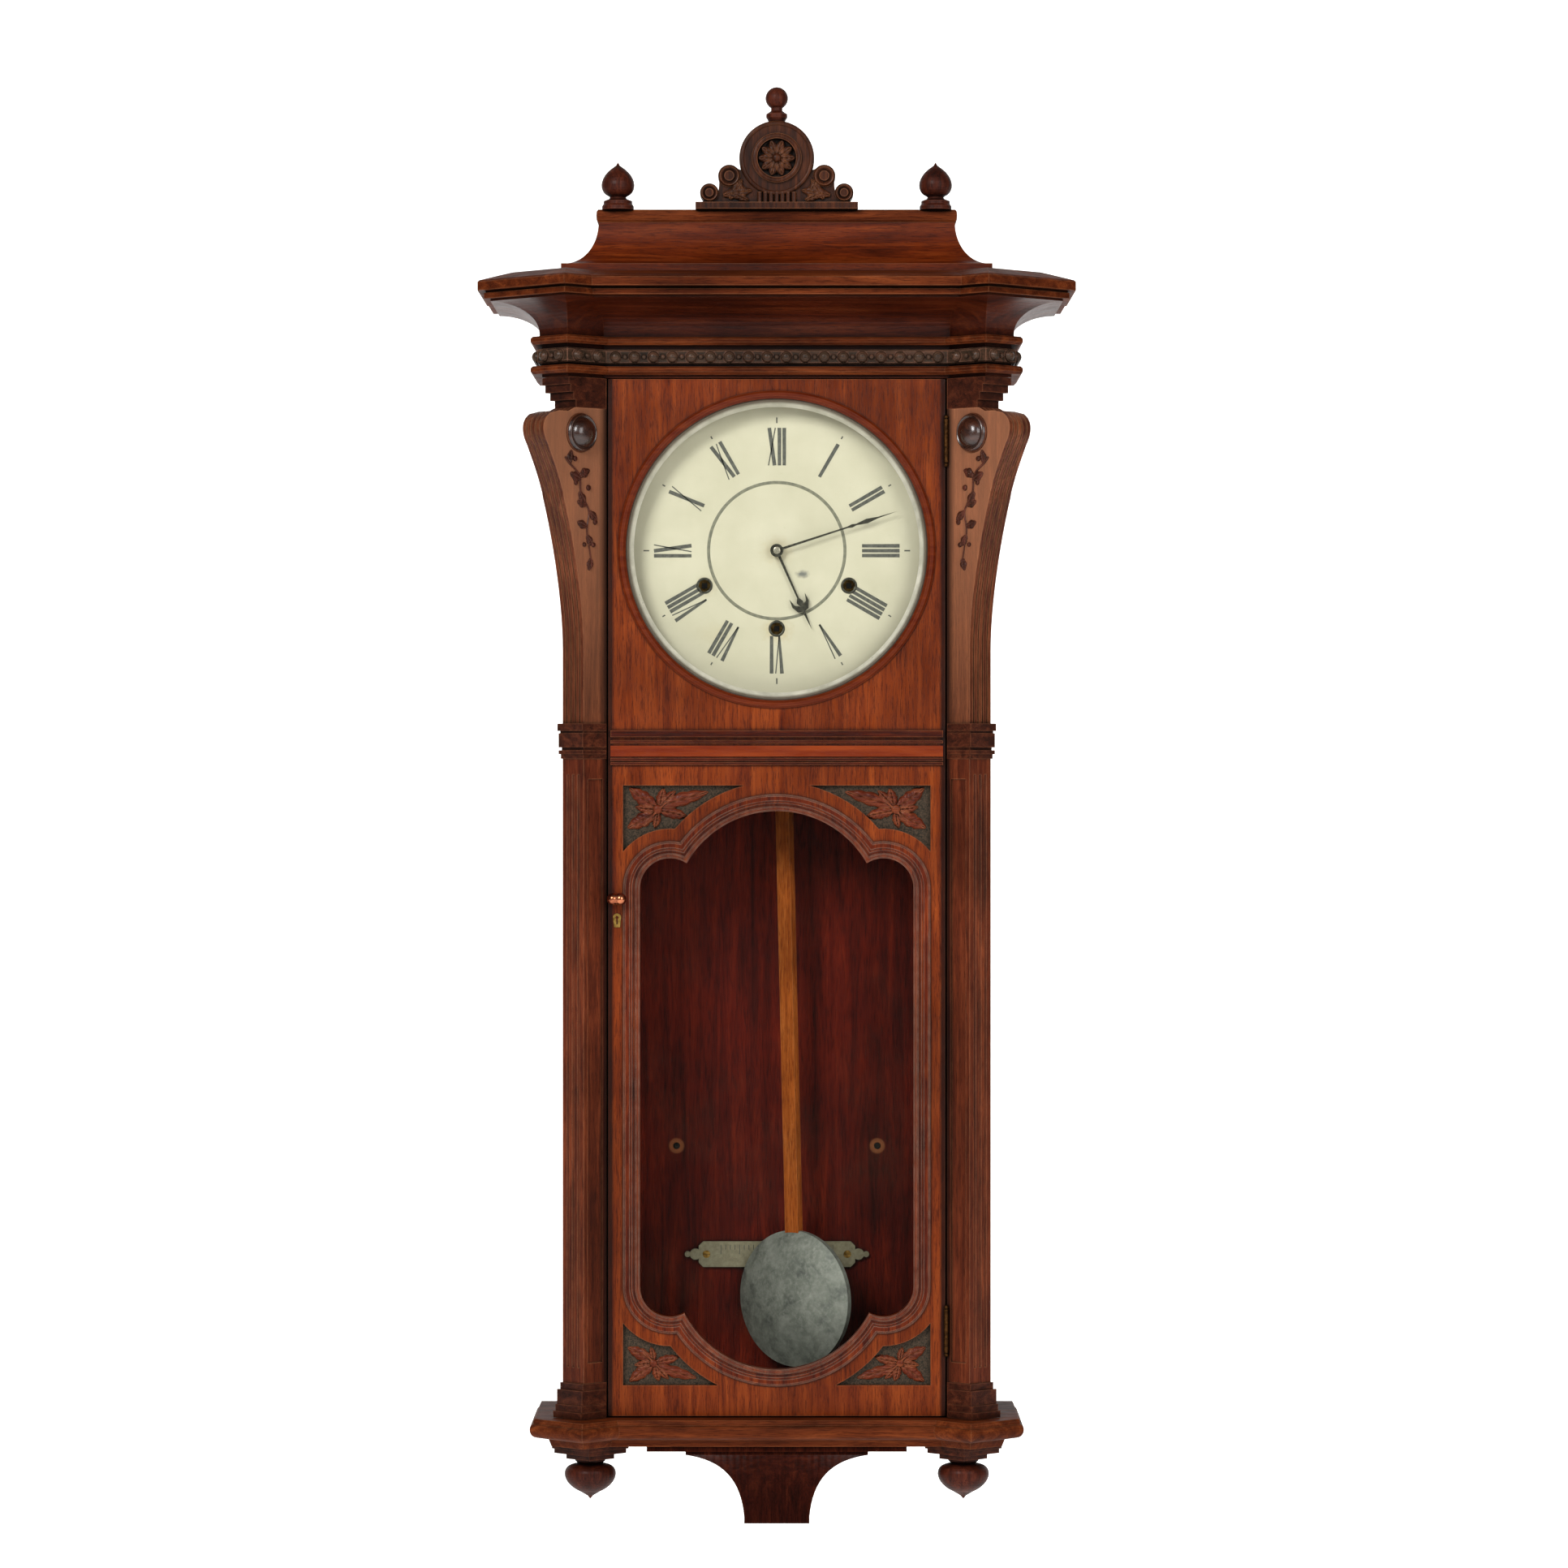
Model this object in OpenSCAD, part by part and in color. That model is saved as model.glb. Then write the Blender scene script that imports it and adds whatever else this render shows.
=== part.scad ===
// Vienna wall clock: a carved wooden wall case with a glazed door, a striking movement and a pendulum.
// The wall is the plane y = 0, the front faces -Y, and the origin is the hole of the hanger plate.

/* [Case] */
// Height of the hanger hole above the tip of the tail bracket
hang_h = 1048; // [1035:1:1054]
// Half width of the case over its side boards
body_half = 188.5; // [186:0.5:192]
// Depth from the wall to the front plane of the door
door_front = 140; // [136:1:150]
// Thickness of a side board
side_t = 18; // [12:1:20]
// Thickness of the back board
back_t = 16; // [12:1:18]
// Height of the underside of the case above the tail's tip
case_z = 75; // [70:1:80]
// Thickness of the top and bottom boards
board_t = 18; // [12:1:22]
// Clearance between a moving piece and its neighbour
gap = 0.3; // [0.2:0.1:0.5]

/* [Door] */
// Height of the lower edge of the door
door_z = 101; // [98:1:104]
// Height of the upper edge of the door
door_top = 1014.5; // [1008:0.5:1016]
// Thickness of the door
door_t = 20; // [18:1:24]
// Half width of the window glass opening
window_half = 120.5; // [112:0.5:121]
// Height of the crown of the window arch
window_top = 634; // [628:1:638]
// Height of the lowest point of the window
window_bottom = 142; // [138:1:150]
// Radius of the crown and foot arcs of the window
arch_r = 91.6; // [88:0.2:96]
// Radius of the four shoulder lobes of the window
lobe_r = 26.5; // [22:0.5:27]
// Width of the moulding round the window
window_band = 15; // [12:0.5:15]
// Thickness of the panes
glass_t = 2; // [2:0.5:3]
// Depth of the carved spandrel pockets
pocket_d = 6; // [4:0.5:8]
// Plain wood between the window's moulding and a carved pocket
pocket_rim = 11; // [8:0.5:14]

/* [Dial] */
// Height of the centre of the dial
dial_z = 864.4; // [858:0.2:868]
// Radius of the dial plate
dial_r = 132; // [128:1:136]
// Visible radius of the dial inside the sight ring
sight_r = 126; // [120:1:127]
// Radius of the round opening in the door
port_r = 133; // [130:1:134]
// Outer radius of the wooden ring round the opening
port_ring_r = 140; // [138:0.5:142]
// Depth of the dial face behind the door's front plane
dial_back = 27; // [26:1:30]
// Thickness of the dial plate
dial_t = 1.2; // [1:0.1:2]
// Radius of a winding hole
wind_r = 5.2; // [5:0.1:6]
// Sideways distance of the outer winding holes
wind_x = 64; // [62:0.5:66]
// Drop of the outer winding holes below the dial centre
wind_drop = 31; // [28:0.5:34]
// Drop of the middle winding hole below the dial centre
wind_mid_drop = 69; // [67:0.5:72]

/* [Pilasters] */
// Thickness of the sawn console board
console_t = 27; // [22:0.5:28]
// Reach of the lower pilaster along its diagonal
shaft_u = 27.5; // [24:0.5:28]
// Reach of the scroll along its diagonal
scroll_u = 76.5; // [70:0.5:80]
// Reach of the capital and the frieze block
capital_u = 44; // [42:0.5:46]
// Thickness of the frieze block
frieze_t = 33; // [31:0.5:34]
// Height of the upper end of the consoles
console_top = 988; // [986:1:990]
// Height where the console starts above the middle band
console_z = 711; // [709:1:713]
// Radius of the raised ring on the flank of a scroll
boss_r = 17.5; // [16:0.5:19]

/* [Cornice] */
// Height of the underside of the frieze
frieze_z = 1015.3; // [1015:0.1:1017]
// Height of the underside of the cove
cove_z = 1051; // [1050:0.5:1053]
// Height of the underside of the cornice slab
slab_z = 1083; // [1081:0.5:1085]
// Height of the top of the cornice slab
slab_top = 1107; // [1105:0.5:1109]
// Half width of the cornice slab
slab_half = 262; // [255:1:266]
// Reach of the middle of the slab in front of the door plane
slab_front = 88; // [80:1:94]
// Reach of the slab's corner points in front of the door plane
slab_prow = 111; // [106:1:114]
// Half width of the roof at its foot
roof_half = 189; // [182:1:195]
// Run of the concave roof from its foot to the cap board
roof_run = 32; // [28:1:36]
// Reach of the roof foot in front of the door plane
roof_front = 30; // [24:1:34]
// Height of the top of the roof
roof_top = 1153; // [1148:1:1158]
// Thickness of the cap board
cap_t = 11; // [9:0.5:13]

/* [Crest] */
// Half width of the carved crest at its base
crest_half = 71.5; // [68:0.5:75]
// Height of the roundel centre above the cap board
roundel_h = 44.7; // [42:0.5:47]
// Radius of the roundel
roundel_r = 33; // [30:0.5:34]
// Thickness of the crest
crest_t = 20; // [16:1:24]
// Height of the crest finial
crest_finial_h = 30; // [26:1:34]
// Height of a side finial
side_finial_h = 42; // [38:1:46]
// Sideways distance of the side finials
side_finial_x = 140; // [134:1:144]

/* [Base] */
// Reach of the base ledge beyond the case
ledge_reach = 29; // [26:0.5:31]
// Height of the base ledge
ledge_h = 25; // [22:0.5:25]
// Half width of the tail bracket at its top
tail_half = 80.5; // [70:0.5:84]
// Half width of the tail bracket at its tip
tail_tip_half = 29; // [24:0.5:34]
// Depth of the tail bracket at its tip
tail_tip_depth = 90; // [80:1:96]
// Greatest radius of a drop finial
drop_r = 21.5; // [18:0.5:22]

/* [Pendulum] */
// Height of the suspension pivot
pivot_z = 926; // [924:0.5:928]
// Height of the bob centre when the pendulum hangs straight down
bob_z = 197.5; // [194:0.5:204]
// Radius of the bob
bob_r = 61; // [54:0.5:62]
// Thickness of the bob at its middle
bob_t = 30; // [22:1:32]
// Distance of the pendulum behind the door's front plane
swing_back = 80; // [79:0.5:82]
// Width of the wooden rod
rod_w = 15; // [12:0.5:15]
// Thickness of the wooden rod
rod_t = 6.4; // [5:0.2:7]
// Angle at which the pendulum hangs
lean = 1.3; // [0:0.1:1.5]
// Angle by which the rod and bob are turned on their hook
twist = 38; // [0:1:40]

/* [Hands] */
// Hour hand angle clockwise from twelve
hour_angle = 156; // [0:1:359]
// Minute hand angle clockwise from twelve
minute_angle = 72; // [0:1:359]
// Length of the hour hand
hour_len = 77; // [70:0.5:80]
// Length of the minute hand
minute_len = 112; // [104:0.5:116]

/* [Movement] */
// Half width of the movement plates
plate_half = 98; // [96:1:102]
// Height of the plates above the dial centre
plate_up = 72; // [70:0.5:76]
// Depth of the plates below the dial centre
plate_down = 104; // [102:0.5:108]
// Thickness of a movement plate
plate_t = 3; // [2.5:0.1:3.2]
// Distance of the front plate behind the door's front plane
plate_back = 37; // [37:0.5:38]
// Clear space between the plates
plate_space = 27; // [26.5:0.1:27.5]
// Radius of a spring barrel
barrel_r = 28; // [24:0.5:29]
// Radius of an arbor's bearing end
pivot_r = 2; // [1.5:0.1:2.2]
// Radial clearance of a shaft in its bore
shaft_gap = 0.06; // [0.04:0.01:0.1]
// Teeth of the cannon pinion
cannon_teeth = 12; // [12:12]
// Teeth of the minute wheel
minute_teeth = 36; // [36:36]
// Teeth of the minute pinion
minute_pinion_teeth = 10; // [10:10]
// Teeth of the hour wheel
hour_teeth = 40; // [40:40]
// Size of a tooth of the motion work, as pitch diameter per tooth
motion_module = 0.8; // [0.7:0.05:0.85]

/* [Gong and scale] */
// Turns of each gong coil
gong_turns = 4; // [3:1:5]
// Radius of the gong wire
gong_wire = 1.6; // [1.2:0.1:1.7]
// Spacing of the gong turns
gong_pitch = 8; // [6:0.5:8]
// Height of the middle of the beat scale
scale_z = 234; // [228:1:240]
// Width of the beat scale
scale_w = 141; // [130:1:150]
// Height of the two screw holes in the back board
steady_z = 331.5; // [320:0.5:340]
// Distance between the two screw holes in the back board
steady_span = 181; // [170:1:190]
// Radius of a screw hole in the back board
steady_r = 2.5; // [2:0.1:3]

/* [Hidden] */
round_fn = 64;
fine_fn = 32;

// Woods and metals
red_wood = "#7a3216";
dark_wood = "#43211a";
carved_wood = "#5c3828";
brass = "#b08d4a";
steel = "#6f7276";
zinc = "#6f7367";
rod_wood = "#a05a28";
coppery = "#9a6a4a";
cream = "#e3e2c8";
pane = "#c8d8d8";

// Square root of a half: the share of a diagonal reach that shows along x and along y
diag = sqrt(0.5);
inner_x = body_half - side_t;
pilaster_root = body_half - (shaft_u + console_t) * diag;
door_half = pilaster_root - 1.5;
post_step = 11;
mid_top = console_z;
mid_low = mid_top - 31;
drop_x = 165;
drop_y = -(door_front - 22);
drop_block_h = 14;
crest_y = -(door_front - 4);

// Hanger plate, screws and beat scale
hanger_t = 2.5;
hanger_half = 18;
hanger_up = 22;
hanger_down = 48;
hanger_hole = 4;
hook_room = 9;
plate_screws = [-38, 14];
screw_r = 1.7;
screw_l = 11;
scale_t = 4;
scale_screw = scale_w / 2 - 7;

// Window and rail of the door
pane_y = -(door_front - 10);
rebate = 5;
rail_low = 656.5;
rail_z = rail_low + 18;
pocket_half = window_half + window_band;
pocket_low = door_z + 27;
sprays = [[103, rail_low - 21, 1, 0], [107, pocket_low + 19, 0.85, 1]];

// Knob with its bolt, and hinges
knob_z = 556.6;
knob_x = -(pocket_half + 5.2);
stem_r = 2.5;
bolt_l = 13;
bolt_t = 2.6;
bolt_w = 5.2;
latch_lip = 1.5;
latch_y = -(door_front - door_t) + 2 * gap + latch_lip;
hinge_zs = [176, 960];
hinge_x = pilaster_root - 0.75;
hinge_y = -(door_front + 2.7);
hinge_r = 2.1;
pin_r = 1.1;
leaf_t = 0.6;
leaf_w = 14;
leaf_h = 38;
knuckle_h = leaf_h / 3;
outer_knuckles = [[-leaf_h / 2, -knuckle_h / 2 - gap / 2], [knuckle_h / 2 + gap / 2, leaf_h / 2]];

// A plan point: x outward, f forward of the door plane
function at(x, f) = [x, -(door_front + f)];
// Right half of a plan that breaks forward over the diagonal corner block
function corner_plan(root, u, t, front) = [
    [root + front, front], [root + u * diag, u * diag], [root + (u + t) * diag, (u - t) * diag]
];
// The same plan moved outward by d with mitred corners
function grown(p, d) = [
    [p[0].x - d * (sqrt(2) - 1), p[0].y + d], [p[1].x, p[1].y + d * sqrt(2)],
    [p[2].x + d, p[2].y + d * (sqrt(2) - 1)]
];
// Whole plan line from the wall on the right round the front to the wall on the left
function plan_line(p) = concat(
    [[p[len(p) - 1].x, 0]],
    [for (i = [len(p) - 1:-1:0]) at(p[i].x, p[i].y)],
    [for (i = [0:len(p) - 1]) at(-p[i].x, p[i].y)],
    [[-p[len(p) - 1].x, 0]]
);
function arc(cx, cy, r, from, to, n) = [
    for (i = [0:n]) let (a = from + (to - from) * i / n) [cx + r * cos(a), cy + r * sin(a)]
];
function bezier(a, b, c, d, n) = [
    for (i = [0:n]) let (t = i / n, s = 1 - t) s * s * s * a + 3 * s * s * t * b + 3 * s * t * t * c + t * t * t * d
];
function reversed(line) = [for (i = [len(line) - 1:-1:0]) line[i]];
// Concave quarter from the point a, where it lies level, to the point b, where it stands upright
function cavetto(a, b, n) = [
    for (i = [0:n]) let (w = 90 * i / n) [a.x + (b.x - a.x) * sin(w), b.y + (a.y - b.y) * cos(w)]
];

body_plan = corner_plan(pilaster_root, shaft_u, console_t, 0);
frieze_plan = corner_plan(pilaster_root + 2, capital_u, frieze_t, 0);
slab_root = frieze_plan[1].x - slab_prow;
slab_plan = [
    [slab_root + slab_front, slab_front], [frieze_plan[1].x, slab_prow],
    [slab_half, slab_prow + frieze_plan[1].x - slab_half]
];
roof_foot = [[roof_half, roof_front]];
roof_head = [[roof_half - roof_run, roof_front - roof_run]];
cap_z = roof_top + cap_t;

// Movement: planes from front to back, then the places of its arbors from the dial's centre
dial_y = -(door_front - dial_back);
hour_y = dial_y - 3.4;
minute_y = hour_y - 3.6;
hand_t = 0.8;
pipe_r = 4;
plate_front_y = -(door_front - plate_back);
plate_rear_y = plate_front_y + plate_t + plate_space;
wheel_low = plate_front_y - 1.2;
wheel_t = 2.4;
third_y = plate_front_y + plate_t + 13;
swing_y = -(door_front - swing_back);
arm_x = 72;
arm_w = 9;
arbor_r = 4;
stud_r = 1.8;
barrels = [[-wind_x, -wind_drop], [0, -wind_mid_drop], [wind_x, -wind_drop]];
escape_up = 31;
train_module = 0.75;
third_teeth = 60;
pinion_leaves = 8;
train_distance = train_module * (third_teeth + pinion_leaves) / 2;
third_at = [-sqrt(pow(train_distance, 2) - pow(escape_up / 2, 2)), escape_up / 2];
third_to_escape = atan2(escape_up - third_at.y, -third_at.x);
motion_distance = motion_module * (cannon_teeth + minute_teeth) / 2;
hour_module = 2 * motion_distance / (minute_pinion_teeth + hour_teeth);

// Pendulum: heights below the suspension pivot
crutch_drop = 52;
hook_low = -64;
hook_half = 3.4;
rod_top = hook_low - 0.6;
rod_sunk = 16;
rod_end = -(pivot_z - bob_z) + bob_r - rod_sunk;
thread_r = 2;
peg_r = 1.6;

// Gong coils: an even spiral wound outward from a short straight lead
gong_z = 694;
gong_in = 12;
gong_x = -gong_in;
gong_steps = 24;
lead_l = 8;
lead = [for (i = [0:3]) [gong_in, lead_l * (i / 4 - 1)]];
spiral = [
    for (i = [0:gong_turns * gong_steps])
        let (a = 360 * i / gong_steps, r = gong_in + gong_pitch * i / gong_steps) [r * cos(a), r * sin(a)]
];
gong_line = concat(lead, spiral);
gong_gap = min([
    for (i = [0:len(gong_line) - 1], j = [0:len(gong_line) - 1]) if (j > i + gong_steps / 2)
        norm(gong_line[i] - gong_line[j])
]) - 2 * gong_wire;
echo(gong_gap = gong_gap);
coil_y = [-back_t - 13, -back_t - 23];
coil_left = gong_x - gong_in - gong_pitch * (gong_turns - 0.5) - gong_wire;

// Hammers that strike the coils from the left
head_l = 16;
hammer_at = [coil_left - head_l / 2 - 6, -80];
hammer_len = dial_z + hammer_at.y - gong_z;

// Everything is drawn from heights above the tail's tip
module hung() {
    translate([0, 0, -hang_h]) children();
}

// A piece and its mirror image
module pair() {
    children();
    mirror([1, 0, 0]) children();
}

// One straight run of moulding between the plan lines a and b, cut to its mitres.
// The profile's points are [share of the reach from a to b, height].
module moulding_run(a0, a1, b0, b1, profile) {
    along = (a1 - a0) / norm(a1 - a0);
    reach = (b0 - a0) * [-along.y, along.x];
    span = norm(a1 - a0) + 4 * abs(reach) + 40;
    low = min([for (p = profile) p.y]);
    high = max([for (p = profile) p.y]);
    intersection() {
        translate([a0.x, a0.y, 0]) rotate([0, 0, atan2(along.y, along.x)])
            translate([norm(a1 - a0) / 2 - span / 2, 0, 0]) rotate([90, 0, 90])
                linear_extrude(span) polygon([for (p = profile) [p.x * reach, p.y]]);
        translate([0, 0, low - 1]) linear_extrude(high - low + 2) polygon([a0, a1, b1, b0]);
    }
}

module moulding(inner, outer, profile) {
    a = plan_line(inner);
    b = plan_line(outer);
    for (i = [0:len(a) - 2]) moulding_run(a[i], a[i + 1], b[i], b[i + 1], profile);
}

module slab_of(plan, low, high) {
    translate([0, 0, low]) linear_extrude(high - low) polygon(plan_line(plan));
}

// A solid turned about an upright axis; the profile's points are [radius, height]
module turned(profile, fn = round_fn) {
    rotate_extrude($fn = fn) polygon(profile);
}

// A disc or shaft along Y from the plane y0 back to y1
module y_rod(x, z, r, y0, y1, fn = fine_fn) {
    translate([x, y1, z]) rotate([90, 0, 0]) cylinder(h = y1 - y0, r = r, $fn = fn);
}

// A flat outline in x and z, from the plane y0 back to y1
module y_plate(outline, y0, y1) {
    translate([0, y1, 0]) rotate([90, 0, 0]) linear_extrude(y1 - y0) polygon(outline);
}

module box_at(low, high) {
    translate(low) cube(high - low);
}

module back_board() {
    color(red_wood) hung() difference() {
        box_at([-inner_x + gap, -back_t, case_z], [inner_x - gap, 0, slab_z - gap]);
        box_at([-hanger_half - gap, -hanger_t - gap, hang_h - hanger_down - gap],
            [hanger_half + gap, 1, hang_h + hanger_up + gap]);
        y_rod(0, hang_h, hook_room, -back_t + 4, 0);
        for (s = [-1, 1]) y_rod(s * steady_span / 2, steady_z, steady_r, -back_t - 1, 1);
        for (z = plate_screws) y_rod(0, hang_h + z, screw_r + shaft_gap, -hanger_t - screw_l, 0);
        for (s = [-1, 1]) y_rod(s * scale_screw, scale_z, screw_r + shaft_gap, -back_t - 1, -back_t + screw_l);
    }
}

module hanger_plate() {
    color(steel) hung() difference() {
        box_at([-hanger_half, -hanger_t, hang_h - hanger_down], [hanger_half, 0, hang_h + hanger_up]);
        y_rod(0, hang_h, hanger_hole, -hanger_t - 1, 1);
        for (z = plate_screws) y_rod(0, hang_h + z, screw_r + shaft_gap, -hanger_t - 1, 1);
        for (z = plate_screws) translate([0, 0, hang_h + z]) rotate([90, 0, 0])
            turned([[0, -1], [2 * screw_r + shaft_gap, -1], [2 * screw_r + shaft_gap, 0.6],
                [screw_r + shaft_gap, 2], [0, 2]], fine_fn);
    }
}

// A countersunk wood screw with its slot, pointing towards +Y
module wood_screw(l) {
    head = 2 * screw_r;
    rotate([-90, 0, 0]) difference() {
        turned([[0, 0], [head, 0], [head, 0.4], [screw_r, 1.8], [screw_r, l - 2], [0, l]], fine_fn);
        box_at([-head, -0.3, -1], [head, 0.3, 0.5]);
    }
}

module wood_screws() {
    color(brass) hung() {
        for (z = plate_screws) translate([0, -0.1, hang_h + z]) mirror([0, 1, 0]) wood_screw(screw_l);
        for (s = [-1, 1])
            translate([s * scale_screw, -back_t - scale_t + 0.3, scale_z]) wood_screw(screw_l);
    }
}

module side_board(s) {
    color(red_wood) hung() mirror([s < 0 ? 1 : 0, 0, 0])
        box_at([inner_x, -(door_front - door_t), case_z], [body_half, 0, slab_z - gap]);
}

module corner_post(s) {
    stop = door_half - post_step;
    front = -door_front;
    rabbet = -(door_front - door_t) + gap;
    color(red_wood) hung() mirror([s < 0 ? 1 : 0, 0, 0]) difference() {
        translate([0, 0, case_z + board_t + gap]) linear_extrude(slab_z - case_z - 2 * board_t - 3 * gap)
            polygon([[stop, rabbet], [pilaster_root, rabbet], [pilaster_root, front], [body_half, front],
                [body_half, -(door_front - door_t) - gap], [inner_x - gap, -(door_front - door_t) - gap],
                [inner_x - gap, rabbet + door_t], [stop, rabbet + door_t]]);
        box_at([0, -door_front - 1, frieze_z - gap], [body_half + 1, -(door_front - door_t) + 1, slab_z]);
        box_at([0, -door_front - 1, 0], [body_half + 1, -(door_front - door_t), case_z + ledge_h]);
        if (s < 0) latch_mortise(rabbet);
    }
}

// The slot that lets the upright bolt out and the round room behind its lip, on the right until mirrored
module latch_mortise(rabbet) {
    room = bolt_l + 1.4;
    slot = bolt_w / 2 + 1;
    y_rod(-knob_x, knob_z, room, latch_y - gap, latch_y + bolt_t + gap, round_fn);
    box_at([-knob_x - slot, rabbet - 1, knob_z - slot], [-knob_x + slot, latch_y, knob_z + room]);
}

module top_board() {
    color(red_wood) hung() box_at([-inner_x + gap, -(door_front - door_t), slab_z - board_t - gap],
        [inner_x - gap, -back_t - gap, slab_z - gap]);
}

module bottom_board() {
    color(red_wood) hung() box_at([-inner_x + gap, -(door_front - door_t), case_z],
        [inner_x - gap, -back_t - gap, case_z + board_t]);
}

module frieze() {
    color(dark_wood) hung() difference() {
        slab_of(frieze_plan, frieze_z, slab_z - gap);
        box_at([-body_half - gap, -(door_front - door_t) - gap, frieze_z - 1], [body_half + gap, 1, slab_z]);
    }
}

module frieze_fillets() {
    fillet_h = 7;
    color(carved_wood) hung() for (z = [cove_z - fillet_h, frieze_z + 2.7])
        moulding(frieze_plan, grown(frieze_plan, 10),
            [[0, z], [0.75, z], [1, z + 2.2], [1, z + 5.2], [0.8, z + fillet_h], [0, z + fillet_h]]);
}

// A round bead that stands out of a face, with its foot sunk in it
module bead(r) {
    rotate([90, 0, 0]) turned(concat([[0, -1.5], [r, -1.5]], arc(0, 0, r, 0, 90, 4)), 20);
}

// Even beads from the point a to the point b
module bead_row(a, b, z, r, pitch) {
    n = max(1, floor(norm(b - a) / pitch));
    facing = atan2(b.x - a.x, a.y - b.y) + 90;
    for (i = [0:n - 1]) {
        spot = a + (b - a) * (i + 0.5) / n;
        translate([spot.x, spot.y, z]) rotate([0, 0, facing]) bead(r);
    }
}

module bead_band() {
    bead_z = (cove_z + frieze_z) / 2 + 0.6;
    bead_r = 5.3;
    bead_pitch = 16;
    face = grown(frieze_plan, 4);
    line = plan_line(face);
    color(dark_wood) hung() {
        moulding(frieze_plan, face,
            [[0, bead_z - 6.5], [0.7, bead_z - 6.5], [1, bead_z - 5], [1, bead_z + 5], [0.7, bead_z + 6.5],
                [0, bead_z + 6.5]]);
        for (i = [0:len(line) - 2]) bead_row(line[i], line[i + 1], bead_z, bead_r, bead_pitch);
    }
}

module cornice_cove() {
    color(carved_wood) hung() moulding(frieze_plan, slab_plan, concat(
        [[0, cove_z], [0.04, cove_z]],
        reversed(cavetto([0.8, slab_z - 2], [0.04, cove_z + 3], 12)),
        [[0.8, slab_z - gap], [0, slab_z - gap]]));
}

module cornice_slab() {
    band_top = slab_z + 5;
    face_low = slab_z + 7;
    face_top = slab_z + 14.5;
    color(carved_wood) hung() {
        slab_of(frieze_plan, slab_z, slab_top);
        moulding(frieze_plan, slab_plan, [[0, slab_z], [0.9, slab_z], [0.9, band_top], [0.87, band_top],
            [0.87, face_low], [1, face_low], [1, face_top], [0.97, face_top + 1.5], [0.62, slab_top - 2.5],
            [0.45, slab_top], [0, slab_top]]);
    }
}

module roof() {
    foot_h = 7;
    color(red_wood) hung() {
        slab_of(roof_head, slab_top, roof_top);
        moulding(roof_head, roof_foot, concat(
            [[0, slab_top], [1, slab_top], [1, slab_top + foot_h]],
            cavetto([0.97, slab_top + foot_h], [0, roof_top], 16)));
    }
}

module cap_board() {
    over = [[roof_head[0].x + 2, roof_head[0].y + 2]];
    core = [[roof_head[0].x - 3, roof_head[0].y - 3]];
    color(dark_wood) hung() {
        slab_of(core, roof_top, cap_z);
        moulding(core, over, [[0, roof_top], [0.7, roof_top], [0.94, roof_top + 2], [1, roof_top + cap_t / 2],
            [0.94, cap_z - 2], [0.7, cap_z], [0, cap_z]]);
    }
}

// A scroll end: a drum along Y with a raised eye
module scroll_end(x, z, r) {
    y_rod(x, z, r, crest_y - crest_t / 2, crest_y + crest_t / 2, 48);
    y_rod(x, z, r * 0.45, crest_y - crest_t / 2 - 2.5, crest_y, 32);
}

module crest() {
    base_h = 6;
    outer_r = 8.2;
    outer_x = crest_half - outer_r - 4;
    inner_r = 9.8;
    inner_scroll_x = roundel_r + inner_r - 1;
    inner_z = base_h + 23;
    front = crest_y - crest_t / 2;
    back = crest_y + crest_t / 2;
    reeds = 7;
    color(carved_wood) hung() translate([0, 0, cap_z]) {
        box_at([-crest_half, front - 2, 0], [crest_half, back, base_h]);
        pair() {
            y_plate(concat([[0, base_h], [outer_x + 6, base_h]],
                bezier([outer_x + 4, base_h + 7], [outer_x - 6, base_h + 2], [inner_scroll_x + 8, base_h + 6],
                    [inner_scroll_x + 9, inner_z], 10),
                [[inner_scroll_x, inner_z + inner_r - 1], [roundel_r - 6, inner_z + 4], [0, inner_z]]),
                front + 2, back);
            scroll_end(outer_x, base_h + outer_r, outer_r);
            scroll_end(inner_scroll_x, inner_z, inner_r);
        }
        translate([0, crest_y, roundel_h]) rotate([90, 0, 0]) turned([[0, -crest_t / 2], [roundel_r - 3,
            -crest_t / 2], [roundel_r, -crest_t / 2 + 4], [roundel_r, crest_t / 2 - 2], [roundel_r - 3,
            crest_t / 2], [roundel_r * 0.66, crest_t / 2], [roundel_r * 0.66, crest_t / 2 + 3],
            [roundel_r * 0.52, crest_t / 2 + 3], [roundel_r * 0.5, crest_t / 2 - 4], [0, crest_t / 2 - 4]]);
        for (k = [0:5]) rotate_about_y(60 * k, roundel_h)
            y_rod(0, roundel_h + 8, 4.6, front + 1, crest_y, 24);
        y_rod(0, roundel_h, 4.4, front - 1, crest_y, 24);
        for (i = [0:reeds - 1]) translate([(i - (reeds - 1) / 2) * 5, front + 1, base_h])
            cylinder(h = 9, r = 2.2, $fn = 20);
    }
}

module rotate_about_y(angle, z) {
    translate([0, 0, z]) rotate([0, angle, 0]) translate([0, 0, -z]) children();
}

module crest_finial() {
    h = crest_finial_h;
    color(dark_wood) hung() translate([0, crest_y, cap_z + roundel_h + roundel_r]) difference() {
        turned(concat([[0, -3], [6, -3], [8, 1.5], [9.3, 3.5], [9.3, 6.5], [7, 8], [5, 9.5], [5, h - 18]],
            arc(0, h - 9.5, 9.9, -60, 90, 14)));
        translate([0, 0, -roundel_r]) y_rod(0, 0, roundel_r + gap, -crest_t, crest_t, round_fn);
    }
}

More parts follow.
